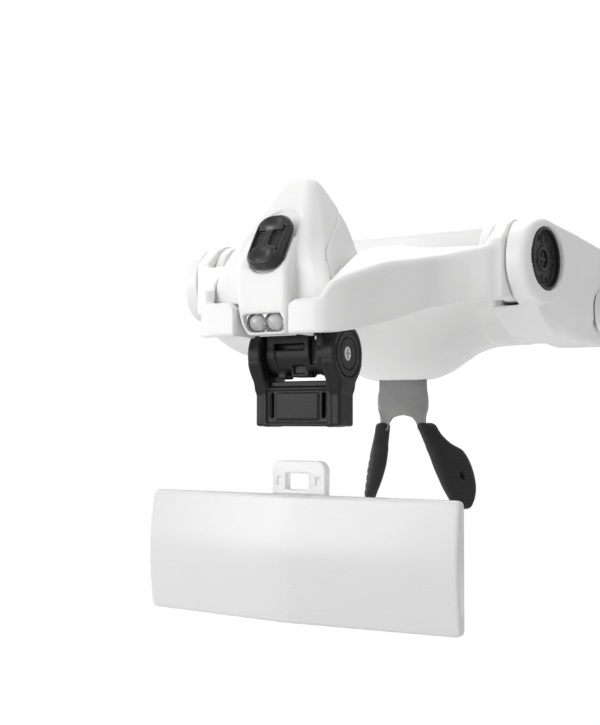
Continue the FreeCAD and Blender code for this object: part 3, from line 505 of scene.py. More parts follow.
TAB_CLEAR = acrylic("clear_acrylic_tab_look", (0.95, 0.95, 0.95),
                    clear=0.40, rough=0.10, streak=0.25)
LED_CLEAR = acrylic("led_clear_look", (0.95, 0.95, 0.95), clear=0.62, rough=0.05, streak=0.1)


# ================================================================ shared sizes
WING_X, WING_SPLAY = 61.2, 0.18                  # outer wing face: x at y = 0, and x per y
EAR_IN, EAR_OUT, EAR_R = 48.05, 52.40, 12.0      # visor hinge ear
CHEEK_OUT = 47.4                                 # inner side of the pocket for that ear
DRUM_IN, DRUM_R, DRUM_Y, DRUM_Z = 52.90, 12.2, -1.0, -0.8
CAP_X, CAP_TILT = 58.80, math.radians(-6)        # hinge cap centre and its turn about Z
CAP_COS, CAP_SIN = math.cos(CAP_TILT), math.sin(CAP_TILT)
JOINT_Z = -12.5                                  # height of the temple joints
PIVOT_Y, PIVOT_Z = -33.0, -27.5                  # axis of the flip-up lens holder
NOSE_PLATE_Y = 30.4 + 0.5                        # middle of the nose bracket's sheet
NOSE_SCREW_X, NOSE_SCREW_Z = 5.0, -27.5


# ================================================================ head frame
# Outline curves as (x, z) for the wall and (y, z) for the side, wing and skirt
WALL_TOP = [(0, 16.2), (30, 16.2), (38, 15.2), (44, 12.6), (50, 12.0)]
WALL_BOTTOM = [(0, -33.0), (5, -33.0), (11, -32.4), (17, -30.4), (22, -27.2), (27, -24.0),
               (33, -22.2), (40, -21.8), (50, -21.5)]
SIDE_BOTTOM = [(-20, -12.6), (-2, -13.2), (4, -17.0), (10, -19.6), (18, -21.4), (30, -21.6)]
WING_TOP = [(-1, 11.3), (3, 11.0), (34, 6.8), (54, 3.6)]
WING_BOTTOM = [(-1, -13.0), (4, -16.5), (10, -18.8), (18, -20.9), (28, -22.3), (40, -22.9),
               (54, -21.5)]
SKIRT_BOTTOM = [(-6, -12.9), (-2, -13.6), (4, -16.6), (10, -18.9), (18, -21.0), (30, -22.2)]
# Plan outlines as (x, y)
FRONT_EDGE = [(-30, 26), (34, 26), (40, 24.5)]
WALL_PLAN = FRONT_EDGE + [
    (44, 20), (44, 0), (47.4, 0), (47.4, 14), (50, 14.2), (50, 41.2), (40, 38.0), (25, 34.2),
    (12, 32.4), (-30, 31.6)]
WALL_CORNERS = [0, 8, 5, 5, 0.5, 0.5, 0.5, 0.5, 0.5, 6, 8, 6, 0]
FRONT_PLAN = FRONT_EDGE + [(44, 20), (44, -40), (120, -40), (120, 90), (-30, 90)]
WING_PLAN = [(49.5, 14.2), (DRUM_IN, 14.2), (DRUM_IN, -16), (90, -16), (90, 54), (65.2, 54),
             (60, 46.5), (49.5, 41.0)]
SKIRT_PLAN = [(30, 26.05), (38, 25.2), (42.5, 21.5), (46.4, 13.5), (48.9, 5.0), (50.2, -2.0),
              (58.0, -2.0), (58.6, 2), (58.6, 22), (44, 31), (32, 30)]
CAVITY_PLAN = [(-30, 28.2), (33.5, 28.2), (41.5, 26.2), (46.2, 22.0), (46.2, 18.0),
               (51.5, 18.0), (54.5, 24), (56.5, 34), (58.0, 47.0), (50, 42.5), (40, 39.5),
               (25, 36), (12, 34), (-30, 33.2)]
# Side outline (y, z) of the block under the hinge
UNDER_SIDE = [(-2, -12.9), (14.5, -12.9), (14.5, -21.0), (10, -19.6), (4, -17.0), (-2, -13.4)]


def frame_wall(x, y, z):
    """Middle wall across the brow."""
    front = polygon(x, y, FRONT_PLAN, [0, 8, 5, 5, 0, 0, 0, 0])
    bottom = -above(WALL_BOTTOM, x, z)
    wall = meet(polygon(x, y, WALL_PLAN, WALL_CORNERS), above(WALL_TOP, x, z), 2.4)
    wall = meet(wall, chamfer(front, bottom, back=3.3, rise=7.5), 0.7)
    wall = meet(wall, bottom, 1.4)
    return np.where(x > 43.0, meet(wall, -above(SIDE_BOTTOM, y, z), 0.8), wall)


def frame_wing(x, y, z, outer):
    """Side wing that runs back to the temple joint."""
    plan = polygon(x, y, WING_PLAN, [0.5, 0.3, 0.3, 0.3, 0.3, 2, 4, 2])
    top, bottom = above(WING_TOP, y, z), -above(WING_BOTTOM, y, z)
    wing = meet(meet(plan, top, 0.8), outer, 0.2)
    wing = meet(meet(outer, top, 1.6), wing, 0.05)
    wing = meet(wing, chamfer(outer, bottom, back=3.3, rise=7.2), 0.8)
    return maximum(meet(wing, bottom, 1.4), -1.0 - y)


def frame_skirt(x, y, z):
    """Chamfered band under the corner between wall and wing."""
    plan = polygon(x, y, SKIRT_PLAN, [1, 4, 6, 6, 5, 1.2, 0.6, 1, 1, 1, 1])
    bottom = curves(SKIRT_BOTTOM, y)[0] - z
    skirt = meet(plan, z + 12.55, 0.5)
    skirt = meet(skirt, chamfer(plan, bottom, back=2.6, rise=8), 1.0)
    return meet(skirt, bottom, 1.2)


def frame_field(x, y, z):
    wing_face = x - (WING_X + WING_SPLAY * y)
    outer = wing_face / math.hypot(1, WING_SPLAY)
    from_axis = hypot(y, z)
    cheek = meet(from_axis - 11.5, abs(x - 45.7) - 1.7, 0.5)
    drum = meet(hypot(y - DRUM_Y, z - DRUM_Z) - DRUM_R, outer, 2.0)
    under = meet(polygon(y, z, UNDER_SIDE, 0.6), abs(x - 51.25) - 7.25, 0.8)
    f = join(frame_wall(x, y, z), cheek, 0.6)
    f = join(f, frame_wing(x, y, z, outer), 1.2)
    f = join(f, frame_skirt(x, y, z), 2.4)
    f = join(f, under, 1.2)
    f = join(f, meet(drum, DRUM_IN - x, 0.5), 1.0)
    # pocket for the visor ear, open to the front and top
    opening = polygon(y, z, [(-20, -12.6), (0, -12.7), (0, 20), (-20, 20)])
    pocket = maximum(minimum(from_axis - 12.7, opening), slab(x, CHEEK_OUT, DRUM_IN))
    f = cut(f, pocket, 0.35)
    # cavity behind the wall
    f = cut(f, maximum(polygon(x, y, CAVITY_PLAN), abs(z + 2.8) - 16.2), 0.3)
    # pivot bore and counterbore
    f = cut(f, maximum(from_axis - 3.0, slab(x, 40, 56)))
    f = cut(f, maximum(from_axis - 5.3, 55.4 - x))
    # hinge cap recess
    from_seat = x - (CAP_X - 0.05)
    depth = from_seat * CAP_COS + y * CAP_SIN
    around = sqrt((from_seat * -CAP_SIN + y * CAP_COS) ** 2 + z ** 2)
    f = cut(f, maximum(around - 9.1, -depth), 0.45)
    # seat of the temple joint plate, with a round front end
    half, start = 6.8, 33.7
    seat = maximum(abs(z - JOINT_Z) - half, start - y)
    seat = minimum(seat, hypot(y - start, z - JOINT_Z) - half)
    f = cut(f, maximum(seat, -1.3 - wing_face), 0.3)
    # clamp slot and two screw seats for the nose bracket
    f = cut(f, common(x - 8.8, abs(y - NOSE_PLATE_Y) - 0.62, z + 23.0))
    screw = hypot(x - NOSE_SCREW_X, z - NOSE_SCREW_Z) - 2.1
    f = cut(f, maximum(screw, NOSE_PLATE_Y + 1.05 - y), 0.2)
    # pin mark from moulding on each side of the rim's underside
    return cut(f, sqrt((x - 30.5) ** 2 + (y - 26.6) ** 2 + (z + 21.0) ** 2) - 0.75)


make(symmetric_mesh((0, -15.5, -36), (74.2, 58, 19), 0.62, frame_field),
     "brow_frame_shell", WHITE, "head_frame", "brow_frame")


# ================================================================ visor shell
# Front edge seen from above, with the section there:
# x, y, bottom z, top z, wall thickness, ledge width, ledge rise towards the head
SHELL_STATIONS = [
    (8.7, -56.6, -23.2, -14.0, 2.0, 2.3, 0.0),
    (17.2, -56.2, -23.3, -13.8, 2.1, 2.6, 0.1),
    (21.0, -54.0, -23.1, -9.6, 3.1, 3.4, 0.4),
    (24.7, -49.2, -22.3, -7.6, 4.0, 5.4, 3.0),
    (30.7, -38.0, -19.2, -3.5, 4.0, 11.0, 5.6),
    (34.9, -30.8, -16.6, -2.2, 3.9, 11.6, 5.8),
    (38.5, -23.9, -14.6, -0.6, 2.3, 8.6, 3.8),
    (44.2, -18.8, -13.2, 1.2, 2.1, 4.2, 2.0),
    (49.6, -15.2, -12.4, 3.0, 2.4, 2.5, 0.6),
    (52.35, -10.4, -11.6, 6.8, 4.2, 4.25, 0.0),
]
SHELL_STEPS = 10
LEDGE_THICKNESS = 1.9
NOTCH_X = 8.7                                    # half width of the lamp notch
TRAY_PLAN = [(-10, -55.2), (16.5, -55.2), (19.4, -52.6), (22.0, -47.6), (27.2, -37.6),
             (23.5, -30.0), (18.3, -24.0), (14.0, -15.0), (-10, -15.0)]
# Side outlines (y, z)
EAR_NECK = [(-13.5, -11.6), (-4, -11.3), (-4, 11.3), (-8, 9.6), (-13.5, 4.6)]
TRAY_RIB = [(-37.0, -17.4), (-27.5, -17.4), (-29.5, -0.6), (-32.0, 0.4), (-37.0, -1.8)]
TRAY_LUG = [(-22.5, -17.4), (-16.5, -17.4), (-17.6, -12.2), (-18.2, -10.9), (-19.5, -10.35),
            (-20.8, -10.9), (-21.4, -12.2)]


def along_front(x, y):
    """Signed distance behind the front edge, arc length along it, and the stations' arcs."""
    line = np.array(spline([row[:2] for row in SHELL_STATIONS], SHELL_STEPS))
    arcs = np.r_[0, np.cumsum(hypot(*np.diff(line, axis=0).T))]
    path = np.vstack([[-12, -56.7], line, [52.4, 2.0]])
    path_arcs = np.r_[arcs[0] - 20.7, arcs, arcs[-1] + 12.4]
    x, y = np.broadcast_arrays(x, y)
    best, side, arc = np.full(x.shape, 1e9), np.ones(x.shape), np.zeros(x.shape)
    for i in range(len(path) - 1):
        start = path[i]
        edge = path[i + 1] - start
        from_x, from_y = x - start[0], y - start[1]
        t = np.clip((from_x * edge[0] + from_y * edge[1]) / (edge @ edge), 0, 1)
        distance = hypot(from_x - edge[0] * t, from_y - edge[1] * t)
        nearer = distance < best
        best = np.where(nearer, distance, best)
        side = np.where(nearer, np.sign(edge[0] * from_y - edge[1] * from_x), side)
        arc = np.where(nearer, path_arcs[i] + t * (path_arcs[i + 1] - path_arcs[i]), arc)
    return best * side, arc, arcs[::SHELL_STEPS]


def shell_panel(x, y, z):
    """Front wall and the ledge behind its top edge."""
    behind, arc, stations = along_front(x, y)
    columns = list(zip(*SHELL_STATIONS))
    bottom, top, wall, ledge, rise = (curve(stations, c, arc) for c in columns[2:])
    ledge = maximum(ledge, wall + 0.05)
    slope = rise / ledge
    probe = 0.4
    climb = (curve(stations, columns[3], arc + probe)
             - curve(stations, columns[3], arc - probe)) / (2 * probe)
    over = z - (top + slope * np.clip(behind, -2, ledge))
    over = over * (1.0 / sqrt(1 + slope * slope + climb * climb))
    outside = meet(-behind, over, 1.35)
    inside = join(behind - wall, maximum(behind - ledge, -over - LEDGE_THICKNESS), 1.2)
    panel = meet(meet(outside, inside, 0.55), bottom - z, 0.8)
    # the panel ends at the lamp notch, with a rounded upper corner
    panel = meet(panel, NOTCH_X - x, 0.5)
    panel = maximum(panel, meet(NOTCH_X - x, over, 2.8))
    return maximum(panel, y + 7.0)


def shell_field(x, y, z):
    f = shell_panel(x, y, z)
    # hinge ear and its neck
    from_axis = hypot(y, z)
    thick = slab(x, EAR_IN, EAR_OUT)
    neck = meet(polygon(y, z, EAR_NECK, 0.4), thick, 0.5)
    f = join(f, join(meet(from_axis - EAR_R, thick, 0.7), neck, 0.6), 1.6)
    # tray under the lamp
    tray = meet(polygon(x, y, TRAY_PLAN, 2.5), abs(z + 16.4) - 1.0, 0.35)
    tray = cut(tray, maximum(x - 9.3, y + 44.5), 0.35)
    f = join(f, tray, 0.9)
    # vertical lining each side of the lamp nose
    f = join(f, box((x, y, z), (8.75, -56.0, -23.2), (10.3, -45.0, -15.4), 0.5), 0.6)
    # rib that ties the ledge to the tray, then an upright lug behind it
    f = join(f, meet(polygon(y, z, TRAY_RIB), abs(x - 21.3) - 0.9, 0.3), 0.6)
    f = join(f, meet(polygon(y, z, TRAY_LUG, 0.4), abs(x - 11.4) - 1.2, 0.3), 0.4)
    # pivot bore
    f = cut(f, maximum(from_axis - 3.02, 46 - x), 0.2)
    # holes through the tray
    for hole_y in (-36.5, -29.0):
        f = cut(f, maximum(hypot(x - 6.0, y - hole_y) - 1.05, abs(z + 16) - 4))
    # small dimples on the ledge
    for at_x, at_y, at_z in ((30.3, -31.2, 0.9), (44.9, -15.4, 3.2)):
        f = cut(f, sqrt((x - at_x) ** 2 + (y - at_y) ** 2 + (z - at_z) ** 2) - 0.55)
    return f


make(symmetric_mesh((0, -58, -24.6), (53.6, 13.2, 13.2), 0.5, shell_field),
     "visor_shell_skin", WHITE, "visor", "visor_shell")


# ================================================================ lamp
# z, front half width, front y, shoulder y, rear half width, rear y, corner radius
LAMP_SECTIONS = [
    (-14.2, 19.9, -51.6, -51.0, 16.6, -23.6, 2.4),
    (-9.0, 19.3, -51.9, -51.2, 16.4, -22.8, 2.6),
    (-5.0, 18.4, -52.1, -50.7, 16.0, -22.4, 3.2),
    (0.0, 16.2, -51.3, -48.2, 14.6, -22.4, 4.0),
    (2.5, 15.0, -50.7, -46.4, 13.6, -22.8, 4.0),
    (9.0, 12.0, -46.9, -42.8, 12.0, -24.9, 4.0),
    (15.0, 9.0, -42.7, -39.2, 9.3, -27.5, 3.4),
    (20.5, 6.0, -38.7, -36.4, 5.8, -30.2, 2.6),
    (24.1, 3.0, -36.0, -35.0, 2.3, -32.4, 1.2),
]
# z, half width, front y
NOSE_SECTIONS = [(-22.6, 6.6, -54.0), (-19.5, 7.6, -55.4), (-15.0, 8.2, -56.0),
                 (-6.0, 8.4, -56.3), (-2.0, 8.2, -54.6), (4.0, 7.8, -50.8)]
LAMP_WALL = 1.6
# Side outlines (y, z): the housing ends and the sliding cover begins along this seam
HOUSING_SIDE = [
    (-80, -40), (-46, -40), (-46, -14.3), (-50.2, -14.3), (-50.3, -9.4), (-49.9, -3.6),
    (-48.2, -0.4), (-44.0, 2.9), (-36.5, 8.2), (-30.6, 13.6), (-20, 13.9), (-20, 60), (-80, 60)]
COVER_SIDE = [(-50.2, -10.3), (-50.2, -9.3), (-49.82, -3.66), (-48.14, -0.5), (-43.96, 2.8),
              (-36.46, 8.1), (-30.56, 13.48), (-10, 13.48), (-10, -10.3)]
LAMP_WINDOW = [(-6.7, -17.4), (6.7, -17.4), (5.9, -22.3), (-5.6, -22.3)]    # x, z


def switch_coords(x, y, z):
    """Across, up along and out from the lamp's sloping front, where the switch sits."""
    run, rise = 0.527, 0.850
    y, z = y + 52.1, z - 1.4
    return x, y * run + z * rise, y * -rise + z * run


def lamp_body(x, y, z, inset=0.0):
    """Hood whose eight-cornered plan changes with height, corners rounded."""
    heights = z[0, 0]
    front_half, front, shoulder, rear_half, rear, radius = curves(LAMP_SECTIONS, heights)
    front_half, rear_half = front_half - inset, rear_half - inset
    front, rear = front + inset * 1.2, rear - inset * 1.2
    radius = maximum(radius - inset, 0.4)
    rear_corner = rear - np.where(heights < 18, 3.0, 3.0 - (heights - 18) / 5.6 * 2.0)
    plan = np.stack([np.stack(pair, 1) for pair in (
        (front_half * 0.74, front), (front_half, shoulder),
        (rear_half, rear_corner), (rear_half * 0.6, rear))], 1)
    # counter-clockwise loop seen from above
    plan = np.concatenate([plan, plan[:, ::-1] * np.array([-1, 1])], 1)
    edge = np.roll(plan, -1, axis=1) - plan
    length = maximum(np.linalg.norm(edge, axis=2, keepdims=True), 1e-6)
    normal = np.stack([edge[..., 1], -edge[..., 0]], 2) / length
    # inward offset by the corner radius
    offset = (normal * plan).sum(2) - radius[:, None]
    (x0, y0), (x1, y1) = np.moveaxis(np.roll(normal, 1, axis=1), 2, 0), np.moveaxis(normal, 2, 0)
    offset0 = np.roll(offset, 1, axis=1)
    det = x0 * y1 - y0 * x1
    det = np.where(abs(det) < 1e-6, 1e-6, det)
    core = np.stack([(offset0 * y1 - offset * y0) / det, (x0 * offset - x1 * offset0) / det], 2)
    squared, inside = np.inf, -np.inf
    for i in range(plan.shape[1]):
        start = core[:, i]
        along = core[:, (i + 1) % plan.shape[1]] - start
        from_x, from_y = x - start[:, 0], y - start[:, 1]
        t = np.clip((from_x * along[:, 0] + from_y * along[:, 1])
                    / maximum((along * along).sum(1), 1e-6), 0, 1)
        away2 = (from_x - along[:, 0] * t) ** 2 + (from_y - along[:, 1] * t) ** 2
        squared = minimum(squared, away2)
        inside = maximum(inside, normal[:, i, 0] * x + normal[:, i, 1] * y - offset[:, i])
    return np.where(inside < 0, inside, sqrt(squared)) - radius


def lamp_nose(x, y, z, inset=0.0):
    half, front = curves(NOSE_SECTIONS, z)
    radius, half_depth = 1.7, 10
    side = abs(x) - (half - inset - radius)
    end = abs(y - (front + inset + half_depth)) - (half_depth - radius)
    return round_rect(side, end, radius)


def stadium(across, along, half, start, end, middle, roundness):
    """Long rounded plate; roundness is the corner radius over the half width."""
    radius = half * roundness
    side = abs(across - middle) - (half - radius)
    return round_rect(side, abs(along - (start + end) / 2) - ((end - start) / 2 - radius), radius)


lamp_grid = Grid((-20.4, -58.2, -23.8), (20.4, -20.6, 25.2), 0.42)
lamp_outer = lamp_body(*lamp_grid.at)
lamp_inner = lamp_body(*lamp_grid.at, inset=LAMP_WALL)


def lamp_housing(x, y, z):
    hood = meet(lamp_outer, (z + 0.035 * x * x - 24.0) * 0.95, 1.7)
    hood = meet(hood, -14.1 - z, 0.4)
    nose = meet(lamp_nose(x, y, z), -23.0 - z, 1.0)
    nose = common(nose, y + 47.2, z - 3.6)
    hollow = minimum(maximum(lamp_inner, z - 21.5),
                     box((x, y, z), (-6.0, -53.4, -20.4), (6.0, -46.0, -3.0), 0.5))
    f = cut(join(hood, nose, 0.35), hollow, 0.3)
    f = meet(f, polygon(y, z, HOUSING_SIDE), 0.25)
    # window for the two LEDs
    f = cut(f, common(polygon(x, z, LAMP_WINDOW, 1.7), -60 - y, y + 51.0), 0.35)
    # switch recess, stem slot and room for the switch body
    across, along, out = switch_coords(x, y, z)
    f = cut(f, maximum(stadium(across, along, 5.7, -8.9, 13.4, 1.1, 0.8), -1.15 - out), 0.22)
    f = cut(f, maximum(stadium(across, along, 2.6, -5.0, 8.5, 0.9, 1.0), -6 - out))
    return cut(f, common(abs(across) - 3.75, abs(along - 1.0) - 8.2, abs(out + 5.05) - 1.95))


def battery_cover(x, y, z):
    f = meet(lamp_outer + 0.12, polygon(y, z, COVER_SIDE), 0.3)
    f = meet(f, -lamp_inner, 0.3)
    # grip grooves across the back of the sliding cover
    pitch = 1.9
    grooves = abs(((z + 3.0) / pitch) % 1.0 - 0.5) * pitch - 0.42
    area = common(abs(x) - 7.5, abs(z - 0.2) - 4.6, -26.0 - y)
    f = cut(f, common(grooves, area, -(lamp_outer + 0.4)), 0.15)
    # room for the cells to pass when the cover slides back
    beyond = maximum(maximum(-48.3 - y, y + 35.4), 0)
    swept = maximum(hypot(x, beyond) - 10.35, abs(z + 7.7) - 3.6)
    return cut(f, maximum(swept, lamp_outer + 0.6), 0.2)


make(lamp_grid.mesh(lamp_housing(*lamp_grid.at)),
     "lamp_housing_skin", WHITE, "lamp", "lamp_housing")
make(lamp_grid.mesh(battery_cover(*lamp_grid.at)),
     "battery_cover_skin", WHITE, "battery_door", "battery_cover")


def switch_knob():
    """Rounded pill with a raised double arrow."""
    grid = Grid((-6.2, -63.0, -8.6), (7.2, -44.0, 12.4), 0.2)
    across, along, out = switch_coords(*grid.at)
    middle = 1.1
    pill = stadium(across, along, 5.2, -8.6, 8.6, middle, 0.74)
    side = across - middle
    top = out - (3.45 - 0.012 * side ** 2 - 0.004 * along ** 2)
    knob = meet(pill, maximum(top, -0.35 - out), 0.9)

    def arrow_head(t):
        half = 3.9 - 0.02 * (t - 3.0) ** 2
        return common(abs(side) - half, (2.6 + 0.12 * abs(side)) - t, pill + 0.9)

    bar = maximum(abs(side) - 0.95, abs(along) - 4.0)
    arrow = join(bar, join(arrow_head(along), arrow_head(-along), 0.2), 0.9)
    pocket = common(pill + 0.85, abs(along) - 4.4, -arrow)
    knob = cut(knob, maximum(pocket, -(top + 0.95)), 0.4)
    # thumb dishes at both ends
    for end in (5.6, -5.6):
        dish = sqrt(side ** 2 * 1.1 + (along - end) ** 2 + (top - 4.6) ** 2) - 5.3
        knob = cut(knob, dish, 0.35)
    stem = stadium(across, along, 2.0, -3.5, 3.5, 0.9, 1.0)
    stem = meet(stem, maximum(-3.0 - out, out - 0.5), 0.1)
    return grid.mesh(minimum(knob, stem))


make(switch_knob(), "switch_knob_pill", KNOB_BLACK, "switch", "switch_knob")


# ================================================================ LEDs
LED_X, LED_Y, LED_Z = 2.85, -50.0, -18.25
LED_TILT = math.radians(24)                      # below level, facing forwards
AIM_Y, AIM_Z = -math.cos(LED_TILT), -math.sin(LED_TILT)


def led_cup():
    grid = Grid((-6.8, -55.2, -22.9), (6.8, -50.4, -16.4), 0.16)
    x, y, z = grid.at
    cup = box(grid.at, (-6.4, -54.3, -22.4), (6.4, -51.1, -17.0), 0.5)
    cup = maximum(cup, lamp_nose(x, y, z, inset=0.55))
    out = (y - LED_Y) * AIM_Y + (z - LED_Z) * AIM_Z
    for led_x in (-LED_X, LED_X):
        around = sqrt((x - led_x) ** 2 + (y - LED_Y - out * AIM_Y) ** 2
                      + (z - LED_Z - out * AIM_Z) ** 2)
        cup = cut(cup, around - (2.62 + 0.16 * maximum(out - 1.2, 0)), 0.12)
    return grid.mesh(cup)


def lathe(profile, origin, axis, sides=40):
    """Solid turned about axis from (radius, height) pairs that start and end on it."""
    verts, faces, rings = [], [], []
    for radius, height in profile:
        count = 1 if radius < 1e-6 else sides
        rings.append(list(range(len(verts), len(verts) + count)))
        for k in range(count):
            angle = 2 * math.pi * k / sides
            verts.append((radius * math.cos(angle), radius * math.sin(angle), height))
    for low, high in zip(rings, rings[1:]):
        for k in range(sides):
            after = (k + 1) % sides
            if len(low) == 1:
                faces.append((low[0], high[after], high[k]))
            elif len(high) == 1:
                faces.append((low[k], low[after], high[0]))
            else:
                faces.append((low[k], low[after], high[after], high[k]))
    turn = np.array(Vector((0, 0, 1)).rotation_difference(Vector(axis)).to_matrix())
    return np.array(verts) @ turn.T + np.array(origin), faces


make(led_cup(), "led_cup_moulding", REFLECTOR, "lamp", "led_cup")

DOME_R, DOME_BASE, DOME_HEIGHT = 2.28, 3.6, 2.0
DOME_TOP = DOME_BASE + DOME_HEIGHT
DOME_PROFILE = (
    [(0, 1.0), (2.30, 1.0), (2.45, 1.15), (2.45, 1.75), (DOME_R, 1.9), (DOME_R, DOME_BASE)]
    + [(DOME_R * math.cos(math.radians(a)), DOME_BASE + DOME_HEIGHT * math.sin(math.radians(a)))
       for a in range(8, 90, 8)] + [(0, DOME_TOP)])
DIE_PROFILE = [(0, 1.4), (1.45, 1.5), (1.62, 2.2), (1.25, 2.25), (1.0, 1.75), (0, 1.7)]
for led_name, led_x in (("led_left", LED_X), ("led_right", -LED_X)):
    led_place = (led_x, LED_Y, LED_Z), (0, AIM_Y, AIM_Z)
    make(lathe(DOME_PROFILE, *led_place), led_name + "_dome", LED_CLEAR, "lamp",
         led_name)
    make(lathe(DIE_PROFILE, *led_place, sides=24), led_name + "_die_cup", CHROME, "lamp")


# ================================================================ lens bracket and holder
# Side outlines (y, z)
BRACKET_NECK = [(-39.0, -17.45), (-26.2, -17.45), (-27.2, -22.5), (-28.0, -27.0),
                (-38.2, -27.0), (-39.0, -24.5)]
HOLDER_WEB = [(-41.3, -29.5), (-40.2, -33.0), (-38.4, -35.8), (-37.4, -38.2), (-29.2, -38.2),
              (-27.4, -34.6), (-25.4, -31.5), (-24.7, -29.5)]
# Blocks as low corner, high corner, edge radius, blend radius
BRACKET_BOSSES = [((-7.2, -36.2, -34.4), (-4.4, -31.5, -30.0), 0.5, 0.5),
                  ((-2.2, -37.0, -34.0), (3.6, -32.0, -30.0), 0.6, 0.5)]
BRACKET_RECESSES = [((-6.8, -41, -26.3), (3.2, -35.9, -24.5), 0.3, 0.25),
                    ((4.6, -41, -30.6), (7.2, -36.8, -22.4), 0.4, 0.25),
                    ((-1.4, -41, -33.0), (2.6, -36.2, -30.6), 0.3, 0.2),
                    ((-6.0, -30.2, -26.0), (6.0, -24.0, -19.5), 0.4, 0.25)]
HOLDER_FRONT, HOLDER_REAR, HOLDER_BOTTOM = -37.4, -29.2, -47.9


def lens_bracket():
    """Barrel on a neck below the tray."""
    grid = Grid((-10.4, -40.2, -35.4), (10.4, -25.2, -16.6), 0.28)
    x, y, z = grid.at
    around = hypot(y - PIVOT_Y, z - PIVOT_Z)
    width = abs(x) - 9.45
    f = meet(around - 5.7, width, 0.5)
    f = join(f, meet(polygon(y, z, BRACKET_NECK, 0.7), width, 0.5), 0.8)
    # collar at each end of the barrel
    f = join(f, meet(around - 6.15, abs(abs(x) - 7.9) - 1.5, 0.35), 0.3)
    for low, high, edge, blend in BRACKET_BOSSES:
        f = join(f, box(grid.at, low, high, edge), blend)
    for low, high, edge, blend in BRACKET_RECESSES:
        f = cut(f, box(grid.at, low, high, edge), blend)
    return grid.mesh(cut(f, around - 1.56))


def lens_holder():
    """Two ears about the pivot, and a body with a socket for the lens tab."""
    grid = Grid((-14.8, -42.2, -48.5), (14.8, -23.8, -18.4), 0.28)
    x, y, z = grid.at
    side = abs(x)
    either = side, y, z
    around = hypot(y - PIVOT_Y, z - PIVOT_Z)
    f = meet(around - 8.6, abs(side - 12.1) - 2.1, 0.7)
    f = join(f, meet(polygon(y, z, HOLDER_WEB, 1.2), abs(side - 12.0) - 2.0, 0.6), 0.8)
    # side rails, plate between them and a bar on top of the plate
    front, rear, bottom = HOLDER_FRONT, HOLDER_REAR, HOLDER_BOTTOM
    f = join(f, box(either, (9.4, front, bottom), (13.85, rear, -34.5), 0.7), 1.2)
    f = join(f, box(grid.at, (-11.2, front, bottom), (11.2, rear, -36.7), 0.6), 0.6)
    f = join(f, box(grid.at, (-10.6, -36.2, -38.0), (10.6, rear, -35.0), 0.4), 0.4)
    # recessed front panel with a raised centre field and two slots
    f = cut(f, box(grid.at, (-10.2, -45, -46.9), (10.2, front + 0.45, -37.5), 0.35), 0.25)
    field = box(grid.at, (-6.9, front + 0.12, -46.0), (6.9, front + 3, -38.4), 0.35)
    f = join(f, field, 0.15)
    f = cut(f, box(either, (7.75, -45, -45.7), (9.45, front + 0.82, -38.2), 0.8), 0.15)
    # lens socket from below
    f = cut(f, box(grid.at, (-8.8, -36.6, -60), (8.8, -33.6, -38.2), 0.15), 0.15)
    # pivot bore and its seats
    f = cut(f, around - 1.55)
    f = cut(f, maximum(around - 2.6, abs(x - 13.3) - 0.45), 0.1)
    f = cut(f, maximum(around - 1.95, 12.9 - x), 0.12)
    f = cut(f, maximum(around - 2.6, 13.1 + x), 0.2)
    # rings on the outer face of each ear
    for inner, outer in ((6.35, 6.95), (4.35, 4.75)):
        f = cut(f, maximum(slab(around, inner, outer), 13.75 - side), 0.12)
    f = cut(f, common(slab(around, 7.3, 8.0), 13.9 - side, abs(z - PIVOT_Z) - 2.5), 0.1)
    return grid.mesh(f)


make(lens_bracket(), "lens_bracket_moulding", BLACK, "visor", "lens_bracket")
make(lens_holder(), "lens_holder_moulding", BLACK, "lens_carrier",
     "lens_holder")


# ================================================================ lens
LENS_HALF_WIDTH, LENS_HEIGHT, LENS_TOP, LENS_REAR = 50.0, 35.0, -67.0, -35.6
LENS_CORNER = 1.6
TAB_OUTLINE = [(-8.7, -69.5), (-8.7, -59.2), (-7.1, -57.6), (7.1, -57.6), (8.7, -59.2),
               (8.7, -69.5)]                     # x, z


def lens_plate():
    grid = Grid((-51.0, -46.4, -103.0), (51.0, -34.6, -66.0), 0.5)
    x, y, z = grid.at
    half_height = LENS_HEIGHT / 2
    from_middle = z - (LENS_TOP - half_height)
    # the front swells towards the middle line and in a bow from top to bottom
    tent = 4.4 * (1 - (sqrt(x ** 2 + 9.0) - 3.0) / (LENS_HALF_WIDTH - 2.0))
    bow = 1.85 * (1 - (from_middle / half_height) ** 2)
    front = LENS_REAR - 2.75 - maximum(tent, 0) - bow
    rim = round_rect(abs(x) - (LENS_HALF_WIDTH - LENS_CORNER),
                     abs(from_middle) - (half_height - LENS_CORNER), LENS_CORNER)
    lens = meet(meet(rim, (front - y) * 0.985, 0.55), y - LENS_REAR, 0.35)
    # parting line between the two lens halves
    return grid.mesh(cut(lens, hypot(x, y - (front - 0.12)) - 0.24))


def lens_tab():
    grid = Grid((-9.4, -37.2, -69.0), (9.4, -33.0, -57.0), 0.25)
    x, y, z = grid.at
    tab = meet(polygon(x, z, TAB_OUTLINE, 1.2), abs(y + 35.1) - 1.4, 0.35)
    tab = cut(tab, maximum(abs(x + 0.45) - 3.7, abs(z + 63.45) - 2.3), 0.3)
    tab = cut(tab, box((abs(x), y, z), (5.6, -40, -64.6), (7.0, -36.1, -62.2), 0.3), 0.2)
    # the front part stops at the lens top, the rest laps behind the lens
    tab = maximum(tab, np.where(y < LENS_REAR - 0.2, LENS_TOP - z, -9))
    return grid.mesh(maximum(tab, -68.6 - z))


make(lens_plate(), "lens_plate_moulding", ACRYLIC, "lens_plate", "lens")
make(lens_tab(), "lens_tab_moulding", TAB_CLEAR, "lens_plate")


